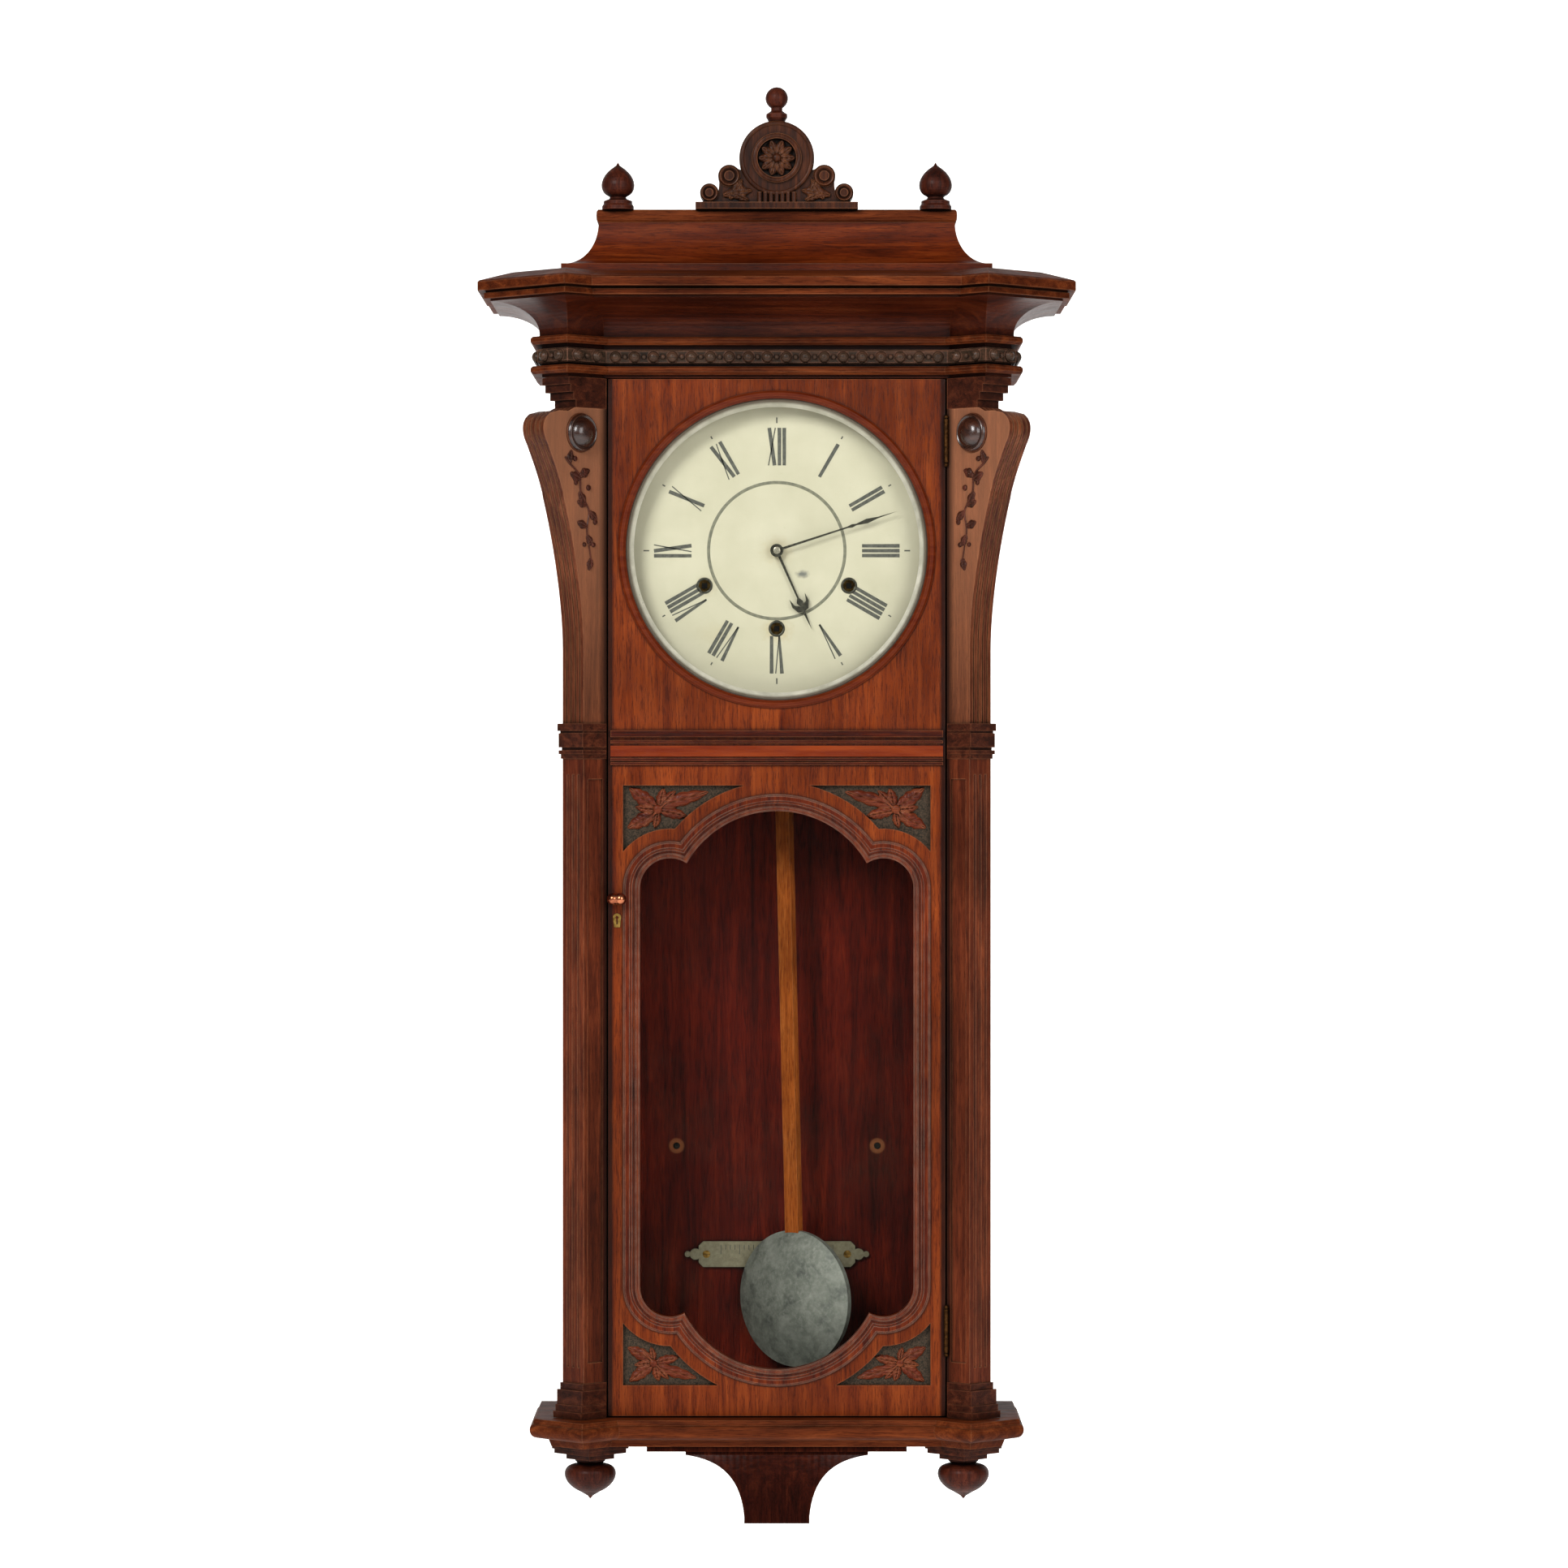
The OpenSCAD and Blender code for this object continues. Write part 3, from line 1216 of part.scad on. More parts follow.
module escutcheon() {
    z = knob_z - 19;
    t = 0.8;
    color(brass) hung() difference() {
        union() {
            y_rod(knob_x, z + 2.5, 3.6, -door_front - t, -door_front);
            y_plate([[knob_x - 2.6, z - 6], [knob_x + 2.6, z - 6], [knob_x + 3.4, z + 2], [knob_x - 3.4, z + 2]],
                -door_front - t, -door_front);
        }
        y_rod(knob_x, z + 2.5, 1.4, -door_front - 2, -door_front + 1);
        box_at([knob_x - 0.6, -door_front - 2, z - 3.5], [knob_x + 0.6, -door_front + 1, z + 2.5]);
    }
}

module door_knob() {
    grip_r = 5.4;
    grip_x = 3.2;
    grip_y = -door_front - 12;
    color(coppery) hung() translate([knob_x, 0, knob_z]) {
        y_rod(0, 0, stem_r, grip_y, latch_y + bolt_t, fine_fn);
        y_rod(0, 0, 4.6, -door_front - gap - 1.6, -door_front - gap, fine_fn);
        for (s = [-1, 1]) translate([s * grip_x, grip_y, 0]) sphere(r = grip_r, $fn = fine_fn);
        translate([-grip_x, grip_y, 0]) rotate([0, 90, 0])
            cylinder(h = 2 * grip_x, r = grip_r - 0.6, $fn = fine_fn);
        box_at([-bolt_w / 2, latch_y, -bolt_w / 2], [bolt_w / 2, latch_y + bolt_t, bolt_l]);
    }
}

// One leaf of a hinge: its plate lies on the face x, its knuckles are at the given heights
module hinge_leaf(x, knuckles, z) {
    box_at([x, -door_front, z - leaf_h / 2], [x + leaf_t, -door_front + leaf_w, z + leaf_h / 2]);
    for (k = knuckles) {
        box_at([x, hinge_y, z + k[0]], [x + leaf_t, -door_front + 1, z + k[1]]);
        translate([hinge_x, hinge_y, z + k[0]]) cylinder(h = k[1] - k[0], r = hinge_r, $fn = fine_fn);
    }
}

module hinges() {
    color(brass) hung() for (z = hinge_zs) {
        hinge_leaf(pilaster_root - leaf_t, [[-knuckle_h / 2 + gap / 2, knuckle_h / 2 - gap / 2]], z);
        translate([hinge_x, hinge_y, z - leaf_h / 2 - 1.5]) cylinder(h = leaf_h + 3, r = pin_r, $fn = fine_fn);
        for (s = [-1, 1]) translate([hinge_x, hinge_y, z + s * (leaf_h / 2 + 2)]) sphere(r = 2, $fn = 24);
    }
}

module door_leaves() {
    color(brass) hung() difference() {
        for (z = hinge_zs) hinge_leaf(door_half, outer_knuckles, z);
        for (z = hinge_zs) translate([hinge_x, hinge_y, z - leaf_h])
            cylinder(h = 2 * leaf_h, r = pin_r + shaft_gap, $fn = fine_fn);
    }
}

back_board();
side_board(-1);  // side_board_left
side_board(1);  // side_board_right
top_board();
bottom_board();
corner_post(-1);  // corner_post_left
corner_post(1);  // corner_post_right
frieze();
frieze_fillets();
bead_band();
cornice_cove();
cornice_slab();
roof();
cap_board();
crest();
crest_finial();
side_finials();
console(-1);  // console_left
console(1);  // console_right
capitals();
mid_bands();
lower_pilasters();
plinths();
base_ledge();
drop_blocks();
drop_finials();
tail_bracket();
hanger_plate();
wood_screws();
beat_scale();
movement_bracket();
front_plate();
back_plate();
dial();
gongs();
hammers();
barrel(barrels[0]);  // barrel_strike
barrel(barrels[1]);  // barrel_going
barrel(barrels[2]);  // barrel_chime
third_wheel();
escape_wheel();
anchor();
minute_wheel();
hour_hand();
minute_hand();
suspension_spring();
pendulum_rod();
pendulum_bob();
rating_nut();
door_frame();
door_bands();
window_moulding();
spandrels();
sight_ring();
dial_glass();
window_glass();
escutcheon();
door_knob();
hinges();
door_leaves();
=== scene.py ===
"""A vienna wall clock: finishes, dial printing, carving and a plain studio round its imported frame."""
import math

import bmesh
import bpy
from mathutils import Matrix, Vector


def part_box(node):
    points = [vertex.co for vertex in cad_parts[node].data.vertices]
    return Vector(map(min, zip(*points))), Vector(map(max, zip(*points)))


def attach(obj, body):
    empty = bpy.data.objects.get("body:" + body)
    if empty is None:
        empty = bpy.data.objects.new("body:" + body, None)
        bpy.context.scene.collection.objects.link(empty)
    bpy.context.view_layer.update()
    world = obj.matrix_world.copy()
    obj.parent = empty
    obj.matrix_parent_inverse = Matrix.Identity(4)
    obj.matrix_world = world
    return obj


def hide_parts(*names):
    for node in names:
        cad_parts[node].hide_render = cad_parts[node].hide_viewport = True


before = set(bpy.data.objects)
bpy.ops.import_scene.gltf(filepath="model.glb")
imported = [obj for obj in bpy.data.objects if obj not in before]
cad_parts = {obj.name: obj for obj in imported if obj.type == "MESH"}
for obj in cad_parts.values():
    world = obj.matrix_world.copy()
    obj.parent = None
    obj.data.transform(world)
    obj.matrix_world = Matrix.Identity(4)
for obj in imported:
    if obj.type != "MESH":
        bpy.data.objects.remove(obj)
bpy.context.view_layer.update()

bl_info = {
    "name": "Vienna Wall Clock",
    "version": (1, 0, 0),
    "blender": (4, 5, 0),
    "location": "View3D > Sidebar > Clock",
    "description": "Finishes and carving for a vienna wall clock in a plain studio",
    "category": "Add Mesh",
}

MM = 0.001
HANG_HEIGHT = 1048.0
DIAL_Z = (864.4 - HANG_HEIGHT) * MM
DIAL_FACE_Y = -113.0 * MM
DOOR_FRONT_Y = -140.0 * MM
PILASTER_ROOT_X = (188.5 - (27.5 + 27.0) * math.sqrt(0.5)) * MM
SCREW_HOLE_X = 90.5 * MM
SCREW_HOLE_Z = (331.5 - HANG_HEIGHT) * MM
BEAD_LINE_Z = (1033.75 - HANG_HEIGHT) * MM
BEAD_PITCH = 16 * MM
FLUTE_PITCH = 6 * MM
# How far a pattern is stretched where the grain runs upright or across
GRAIN = {"z": (1, 1, 0.07), "x": (0.07, 1, 1)}
# Marks of age on the dial: [x, height over the centre, (reach in x, reach in z), share, tone]
DIAL_STAINS = [
    (0.0229, -0.0208, (0.0068, 0.0044), 1.0, "#66685e"),
    (0.0, -0.0704, (0.016, 0.014), 0.4, "#a08a54"),
    (-0.0635, -0.0313, (0.012, 0.011), 0.35, "#8f8258"),
    (0.0645, -0.0313, (0.011, 0.01), 0.3, "#8f8258"),
    (0.0, 0.0, (0.017, 0.015), 0.3, "#a8925c"),
    (-0.055, -0.074, (0.02, 0.012), 0.12, "#a08a54"),
]


def height(above_tail):
    """Turns a height in millimetres above the tail's tip into the frame's metres."""
    return (above_tail - HANG_HEIGHT) * MM


# Materials


def linear(colour):
    """Turns an sRGB hex code or a share of white into a linear colour, and leaves a linear one alone."""
    if isinstance(colour, str):
        channels = [int(colour[i:i + 2], 16) / 255 for i in (1, 3, 5)]
        return (*(c / 12.92 if c <= 0.04045 else ((c + 0.055) / 1.055) ** 2.4 for c in channels), 1.0)
    return (colour, colour, colour, 1.0) if isinstance(colour, (int, float)) else tuple(colour)


def fill(node, inputs):
    """Sets or links each of the node's named inputs."""
    for name, value in inputs.items():
        if isinstance(value, bpy.types.NodeSocket):
            node.id_data.links.new(value, node.inputs[name])
        else:
            node.inputs[name].default_value = value


def add(tree, kind, inputs, out=0, stops=(), **settings):
    """Adds a node with its settings, its colour stops and its inputs, and returns one of its outputs."""
    node = tree.nodes.new("ShaderNode" + kind)
    for name, value in settings.items():
        setattr(node, name, value)
    for _ in stops[2:]:
        node.color_ramp.elements.new(0.5)
    for i, (position, colour) in enumerate(stops):
        node.color_ramp.elements[i].position = position
        node.color_ramp.elements[i].color = linear(colour)
    fill(node, inputs)
    return node.outputs[out]


def new_material(name):
    """Makes a node material and returns it with its tree and its shader."""
    material = bpy.data.materials.new(name)
    material.use_nodes = True
    return material, material.node_tree, material.node_tree.nodes["Principled BSDF"]


def mottle(tree, size_mm, detail, roughness=0.5, distortion=0.0, stretch=(1, 1, 1), stops=()):
    """Lays a cloudy pattern with patches of size_mm over the piece, in the tones of any stops."""
    where = add(tree, "Mapping", {"Vector": add(tree, "TexCoord", {}, "Object"), "Scale": stretch})
    patches = add(tree, "TexNoise", {"Vector": where, "Scale": 1000 / size_mm, "Detail": detail,
                                     "Roughness": roughness, "Distortion": distortion})
    return add(tree, "ValToRGB", {"Fac": patches}, stops=stops) if stops else patches


def layered(tree, colour, layers):
    """Lays tones over a colour, each where its mask is, and returns what shows."""
    for mask, tone in layers:
        tone = tone if isinstance(tone, bpy.types.NodeSocket) else linear(tone)
        colour = add(tree, "Mix", {0: mask, 6: colour, 7: tone}, 2, data_type="RGBA")
    return colour


def axes(material):
    """Returns a material's tree, and the axes of a point's place and of its facing on the piece."""
    tree = material.node_tree
    return tree, *(add(tree, "SeparateXYZ", {"Vector": add(tree, "TexCoord", {}, kind)}).node.outputs
                   for kind in ("Object", "Normal"))


def retone(material, *layers):
    """Lays tones over a finished material's colour and returns it."""
    shader = material.node_tree.nodes["Principled BSDF"]
    colour = shader.inputs["Base Color"].links[0].from_socket
    fill(shader, {"Base Color": layered(material.node_tree, colour, layers)})
    return material


def wood(name, dark, body, light, grain="z", figure_mm=9.0, gloss=0.32, grime_and_shade="#140a07", grime_and_shade_mm=5.0,
         wear="#a8714c", wear_amount=0.35, coat=0.04, shine=0.1):
    """French polished wood: streaked figure, open pores, grime and painted shade in the corners, and rubbed
    edges that on some finishes are also a painted highlight.
    """
    material, tree, shader = new_material(name)
    run = GRAIN[grain]
    colour = mottle(tree, figure_mm, 5, 0.62, 0.7, run, [(0.28, dark), (0.5, body), (0.74, light)])
    clouds = mottle(tree, 111.1, 3, 0.55, stops=[(0.35, (0.62, 0.58, 0.56, 1)), (0.65, (1.12, 1.1, 1.08, 1))])
    # Pores are a third of a millimetre wide and run with the grain; they're drawn a little coarser to show
    pores = mottle(tree, 0.9, 3, 0.7, stretch=run, stops=[(0.38, 0), (0.5, 1)])
    pore_tone = add(tree, "ValToRGB", {"Fac": pores}, stops=[(0.0, (0.5, 0.45, 0.42, 1)), (1.0, 1)])
    for tone in (clouds, pore_tone):
        colour = add(tree, "Mix", {0: 1.0, 6: colour, 7: tone}, 2, data_type="RGBA", blend_type="MULTIPLY")
    # Hands and cloths rub an arris, which is where the rounded normal leaves the flat one; on the window's
    # moulding and the beads the pale rubbed arris is also a painted highlight
    rounded = add(tree, "Bevel", {"Radius": 0.0016}, samples=4)
    flat = add(tree, "NewGeometry", {}, "Normal")
    bend = add(tree, "VectorMath", {0: rounded, 1: flat}, "Value", operation="DOT_PRODUCT")
    arris_wear_and_highlight = add(tree, "MapRange", {"Value": bend, "From Min": 0.995, "From Max": 0.86, "To Max": wear_amount})
    rubbed = add(tree, "Math", {0: arris_wear_and_highlight, 1: mottle(tree, 7.692, 3)}, operation="MULTIPLY", use_clamp=True)
    # Grime and painted shade darken the corners where ambient occlusion finds the piece closed in
    corner = add(tree, "AmbientOcclusion", {"Distance": grime_and_shade_mm * MM}, "AO", samples=6)
    dirt_and_shade = add(tree, "ValToRGB", {"Fac": corner}, stops=[(0.35, 1), (0.85, 0)])
    fill(shader, {
        "Base Color": layered(tree, colour, [(rubbed, wear), (dirt_and_shade, grime_and_shade)]),
        "Roughness": add(tree, "MapRange", {"Value": mottle(tree, 16.67, 4), "To Min": gloss - 0.06,
                                            "To Max": gloss + 0.2}),
        "Normal": add(tree, "Bump", {"Height": pores, "Strength": 0.25, "Distance": 0.0002}),
        "IOR": 1.45, "Coat Weight": coat, "Coat Roughness": 0.15, "Specular IOR Level": shine})
    return material


def metal(name, body, tarnish, roughness, patch_mm=6.0, amount=0.6):
    """Worked metal: patches of tarnish, fine wear in its roughness, and old oil and painted shade in its
    corners.
    """
    material, tree, shader = new_material(name)
    colour = mottle(tree, patch_mm, 6, 0.65, 0.4, stops=[(0.38, tarnish), (0.38 + 0.4 * amount, body)])
    # Old oil and painted shade darken the corners where ambient occlusion finds the piece closed in
    corner = add(tree, "AmbientOcclusion", {"Distance": 0.003}, "AO", samples=4)
    oil_and_shade = add(tree, "ValToRGB", {"Fac": corner}, stops=[(0.3, 1), (0.8, 0)])
    fine = mottle(tree, 0.6667, 3, 0.6)
    fill(shader, {
        "Base Color": layered(tree, colour, [(oil_and_shade, "#1c1712")]),
        "Roughness": add(tree, "MapRange", {"Value": fine, "To Min": roughness - 0.08,
                                            "To Max": roughness + 0.14}),
        "Normal": add(tree, "Bump", {"Height": fine, "Strength": 0.12, "Distance": 0.0001}),
        "Metallic": 1.0})
    return material


def door_finish(body):
    """The door's mahogany, with a painted shadow along its shut lines, and its sunk corners painted greenish
    black.
    """
    material = wood("mahogany_door_french_polished", "#4c1805", body, "#853d15", "z", 10, 0.3)
    tree, place, facing = axes(material)
    sunk = add(tree, "Math", {0: place["Y"], 1: DOOR_FRONT_Y + 0.001}, operation="GREATER_THAN")
    front = add(tree, "Math", {0: facing["Y"], 1: -0.9}, operation="LESS_THAN")
    ground = add(tree, "Math", {0: sunk, 1: front}, operation="MULTIPLY")
    stipple = mottle(tree, 1.111, 3, 0.6, stops=[(0.35, "#1b1b15"), (0.65, "#46382c")])
    # A painted shadow darkens the door's front in the gap along each side edge
    side = add(tree, "Math", {0: place["X"]}, operation="ABSOLUTE")
    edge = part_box("door_frame")[1][0]
    gap_shadow = add(tree, "MapRange", {"Value": side, "From Min": edge - 0.0055, "From Max": edge - 0.003,
                                  "To Max": 0.85})
    line = add(tree, "Math", {0: gap_shadow, 1: front}, operation="MULTIPLY")
    return retone(material, (ground, stipple), (line, "#0d0403"))


def carved_finish(name, dark, body, light, pale):
    """Waxed walnut of consoles and pilasters, with a painted highlight by the share pale on the flanks that
    face the door, fading lower down.
    """
    material = wood(name, dark, body, light, "z", 8, 0.4, "#120a06", 6, "#a8704e", 0.6)
    tree, place, facing = axes(material)
    # Painted highlight on the flanks that face the door, strongest high up
    side = add(tree, "Math", {0: place["X"]}, operation="SIGN")
    inward = add(tree, "Math", {0: facing["X"], 1: side}, operation="MULTIPLY")
    upper = add(tree, "MapRange", {"Value": place["Z"], "From Min": -0.36, "From Max": -0.15, "To Min": 0.12})
    lit_flank = add(tree, "MapRange", {"Value": inward, "From Min": -0.45, "From Max": -0.65, "To Max": pale})
    share = add(tree, "Math", {0: lit_flank, 1: upper}, operation="MULTIPLY")
    # Painted shadow in the gap where the pilaster meets the door
    outward = add(tree, "Math", {0: place["X"]}, operation="ABSOLUTE")
    gap_shadow = add(tree, "MapRange", {"Value": outward, "From Min": PILASTER_ROOT_X + 0.0065,
                                  "From Max": PILASTER_ROOT_X + 0.001, "To Max": 0.9})
    return retone(material, (share, "#b47c5c"), (gap_shadow, "#0d0504"))


def rail_finish():
    """The door's rail mouldings: black beads above and below a red flat, and a ring that is half red."""
    material = wood("mahogany_rail_moulding_polished", "#200803", "#381006", "#54200c", "x", 6, 0.3,
                    "#0a0302", 5, "#a4623c", 0.5)
    tree, place, _ = axes(material)
    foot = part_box("door_bands")[0][2]
    above = add(tree, "Math", {0: place["Z"], 1: foot + 0.0069}, operation="GREATER_THAN")
    below = add(tree, "Math", {0: place["Z"], 1: foot + 0.0172}, operation="LESS_THAN")
    flat = add(tree, "Math", {0: above, 1: below}, operation="MULTIPLY")
    ring = add(tree, "Math", {0: place["Z"], 1: foot + 0.034}, operation="GREATER_THAN")
    half = add(tree, "Math", {0: ring, 1: 0.45}, operation="MULTIPLY")
    red = add(tree, "Math", {0: flat, 1: half}, operation="MAXIMUM")
    streak = mottle(tree, 7.143, 4, 0.6, stretch=GRAIN["x"], stops=[(0.35, "#5c1c08"), (0.7, "#7c3210")])
    return retone(material, (red, streak))


def carcase_finish():
    """The back board's stained pine, with pale rings worn round its two screw holes."""
    material = wood("carcase_pine_stained", "#300802", "#541204", "#6e2008", "z", 10, 0.6, "#0c0302", 14,
                    "#5e3320", 0.2, 0.05)
    tree, place, _ = axes(material)
    side = add(tree, "Math", {0: place["X"]}, operation="ABSOLUTE")
    across = add(tree, "Math", {0: side, 1: SCREW_HOLE_X}, operation="SUBTRACT")
    up = add(tree, "Math", {0: place["Z"], 1: SCREW_HOLE_Z}, operation="SUBTRACT")
    offset = add(tree, "CombineXYZ", {"X": across, "Y": up})
    reach = add(tree, "VectorMath", {0: offset}, "Value", operation="LENGTH")
    # The rings are drawn in centimetres from the hole's centre, and on the inside of the board alone
    centimetres = add(tree, "Math", {0: reach, 1: 100.0}, operation="MULTIPLY")
    ring = add(tree, "ValToRGB", {"Fac": centimetres}, stops=[(0.3, 0.55), (0.62, 0.4), (0.75, 0)])
    inside = add(tree, "Math", {0: place["Y"], 1: -0.004}, operation="LESS_THAN")
    worn = add(tree, "Math", {0: ring, 1: inside}, operation="MULTIPLY")
    return retone(material, (worn, "#a0643c"))


def tail_finish():
    """Dark waxed walnut with shallow upright flutes, as on the tail bracket, made darker still as painted
    shade from the base above.
    """
    material = wood("walnut_tail_fluted", "#1c0602", "#300d05", "#461b0c", "z", 8, 0.5, "#080302", 7,
                    "#6a3820", 0.4, 0.0, 0.03)
    tree = material.node_tree
    shader = tree.nodes["Principled BSDF"]
    # A wave's scale of 0.314 gives one flute a unit
    where = add(tree, "TexCoord", {}, "Object")
    flutes = add(tree, "TexWave", {"Vector": where, "Scale": 0.314 / FLUTE_PITCH}, "Fac", wave_type="BANDS",
                 bands_direction="X", wave_profile="SIN")
    fill(shader, {"Normal": add(tree, "Bump", {
        "Height": flutes, "Normal": shader.inputs["Normal"].links[0].from_socket, "Strength": 0.8,
        "Distance": 0.0012})})
    return material


def barrel_finish():
    """Aged brass drum and wheel, with the dark steel square that the key turns."""
    material = metal("barrel_brass_with_steel_square", "#b08d4a", "#6f5426", 0.32)
    tree, place, _ = axes(material)
    square = add(tree, "Math", {0: place["Y"], 1: DIAL_FACE_Y + 0.008}, operation="LESS_THAN")
    return retone(material, (square, "#1c1b19"))


def from_centre(tree):
    """Returns a point's height over the dial's centre and its distance from it."""
    place = add(tree, "SeparateXYZ", {"Vector": add(tree, "TexCoord", {}, "Object")}).node.outputs
    up = add(tree, "Math", {0: place["Z"], 1: DIAL_Z}, operation="SUBTRACT")
    flat = add(tree, "CombineXYZ", {"X": place["X"], "Y": up})
    return up, add(tree, "VectorMath", {0: flat}, "Value", operation="LENGTH")


def silvered_ring():
    """Silvered brass gone soft and milky, so that it shows as a pale line round the dial."""
    material, tree, shader = new_material("sight_ring_silvered")
    colour = mottle(tree, 16.67, 4, 0.6, stops=[(0.3, "#b4b3a4"), (0.65, "#dddbce")])
    # Outside its rounded lip the ring is brown with old lacquer, and darker over the top as painted shade
    up, reach = from_centre(tree)
    outer = add(tree, "MapRange", {"Value": reach, "From Min": 0.1285, "From Max": 0.1305, "To Max": 0.85})
    top_shade = add(tree, "MapRange", {"Value": up, "From Min": -0.02, "From Max": 0.13, "To Max": 0.5})
    fill(shader, {
        "Base Color": layered(tree, colour, [(top_shade, "#8a8672"), (outer, "#4a3a2c")]),
        "Roughness": add(tree, "MapRange", {"Value": mottle(tree, 3.333, 3), "To Min": 0.22, "To Max": 0.42}),
        "Metallic": 0.45, "IOR": 1.6})
    return material


def cast_zinc():
    """Cast zinc with a dull grey skin: cloudy spangle, white bloom and a pitted face."""
    material, tree, shader = new_material("cast_zinc_weathered")
    cloud = mottle(tree, 18.18, 6, 0.6, 0.6)
    colour = add(tree, "ValToRGB", {"Fac": cloud},
                 stops=[(0.3, "#585d55"), (0.5, "#757a6e"), (0.72, "#8e9286")])
    bloom = mottle(tree, 3.846, 5, 0.7, stops=[(0.45, 0), (0.75, 0.45)])
    fill(shader, {
        "Base Color": layered(tree, colour, [(bloom, "#a9ad9f")]),
        "Roughness": add(tree, "ValToRGB", {"Fac": cloud}, stops=[(0.3, 0.42), (0.7, 0.62)]),
        "Normal": add(tree, "Bump", {"Height": mottle(tree, 5.556, 6), "Strength": 0.35, "Distance": 0.0004}),
        "Metallic": 0.3})
    return material


def dial_enamel(paint):
    """Painted zinc dial: cream gone slightly green, a painted shade darkening its edge, faint stains and a
    worn oval spot.
    """
    material, tree, shader = new_material("painted_dial_cream")
    reach = from_centre(tree)[1]
    colour = mottle(tree, 45.45, 5, 0.6, stops=[(0.3, "#b1ae92"), (0.7, paint)])
    # Painted shade darkens the dial towards its edge, under the sight ring
    rim_shade = add(tree, "MapRange", {"Value": reach, "From Min": 0.1, "From Max": 0.128, "To Max": 0.12})
    specks = mottle(tree, 2.381, 2, stops=[(0.2, 0.55), (0.3, 0)])
    layers = [(rim_shade, "#a8a890"), (specks, "#a39f80")]
    for x, up, (wide, tall), share, tone in DIAL_STAINS:
        spot = add(tree, "Mapping", {"Vector": add(tree, "TexCoord", {}, "Object"),
                                     "Location": (-x, 0, -DIAL_Z - up)}, vector_type="POINT")
        flat = add(tree, "Mapping", {"Vector": spot, "Scale": (1 / wide, 0, 1 / tall)}, vector_type="POINT")
        away = add(tree, "VectorMath", {0: flat}, "Value", operation="LENGTH")
        ragged = add(tree, "Math", {0: away, 1: mottle(tree, 3.846, 4, 0.6)}, operation="ADD")
        fade = add(tree, "MapRange", {"Value": ragged, "From Min": 0.75, "From Max": 1.5, "To Min": share,
                                      "To Max": 0.0})
        layers.append((fade, tone))
    tooth = mottle(tree, 3.333, 4)
    fill(shader, {"Base Color": layered(tree, colour, layers), "Roughness": 0.42, "IOR": 1.5,
                  "Normal": add(tree, "Bump", {"Height": tooth, "Strength": 0.06, "Distance": 0.0002})})
    return material


def ink(name, body, worn):
    """Printed black or thin paint that has greyed and thinned in patches."""
    material, tree, shader = new_material(name)
    colour = mottle(tree, 3.125, 4, 0.6, stops=[(0.35, body), (0.75, worn)])
    fill(shader, {"Base Color": colour, "Roughness": 0.5})
    return material


def old_glass(name, tint, cover):
    """Drawn glass: faint waves, a little dust whose olive patches also paint reflections, and clear enough to
    see the works through.
    """
    material, tree, shader = new_material(name)
    waves = mottle(tree, 142.9, 2)
    fill(shader, {
        # The olive patches are a little dust and also a painted reflection
        "Base Color": mottle(tree, 83.33, 6, 0.7, stops=[(0.5, tint), (0.95, "#3a3628")]),
        "Normal": add(tree, "Bump", {"Height": waves, "Strength": 0.15, "Distance": 0.002}),
        "Roughness": 0.04, "IOR": 1.52, "Alpha": cover})
    return material


def studio_paint(name, body):
    """Matt paper with a barely visible tooth, lit a little from within so that it stays pale."""
    material, tree, shader = new_material(name)
    fill(shader, {"Base Color": mottle(tree, 2.5, 2, stops=[(0.3, body), (0.7, "#f4f4f2")]),
                  "Roughness": 0.9, "Emission Color": (1, 1, 1, 1), "Emission Strength": 0.75})
    return material


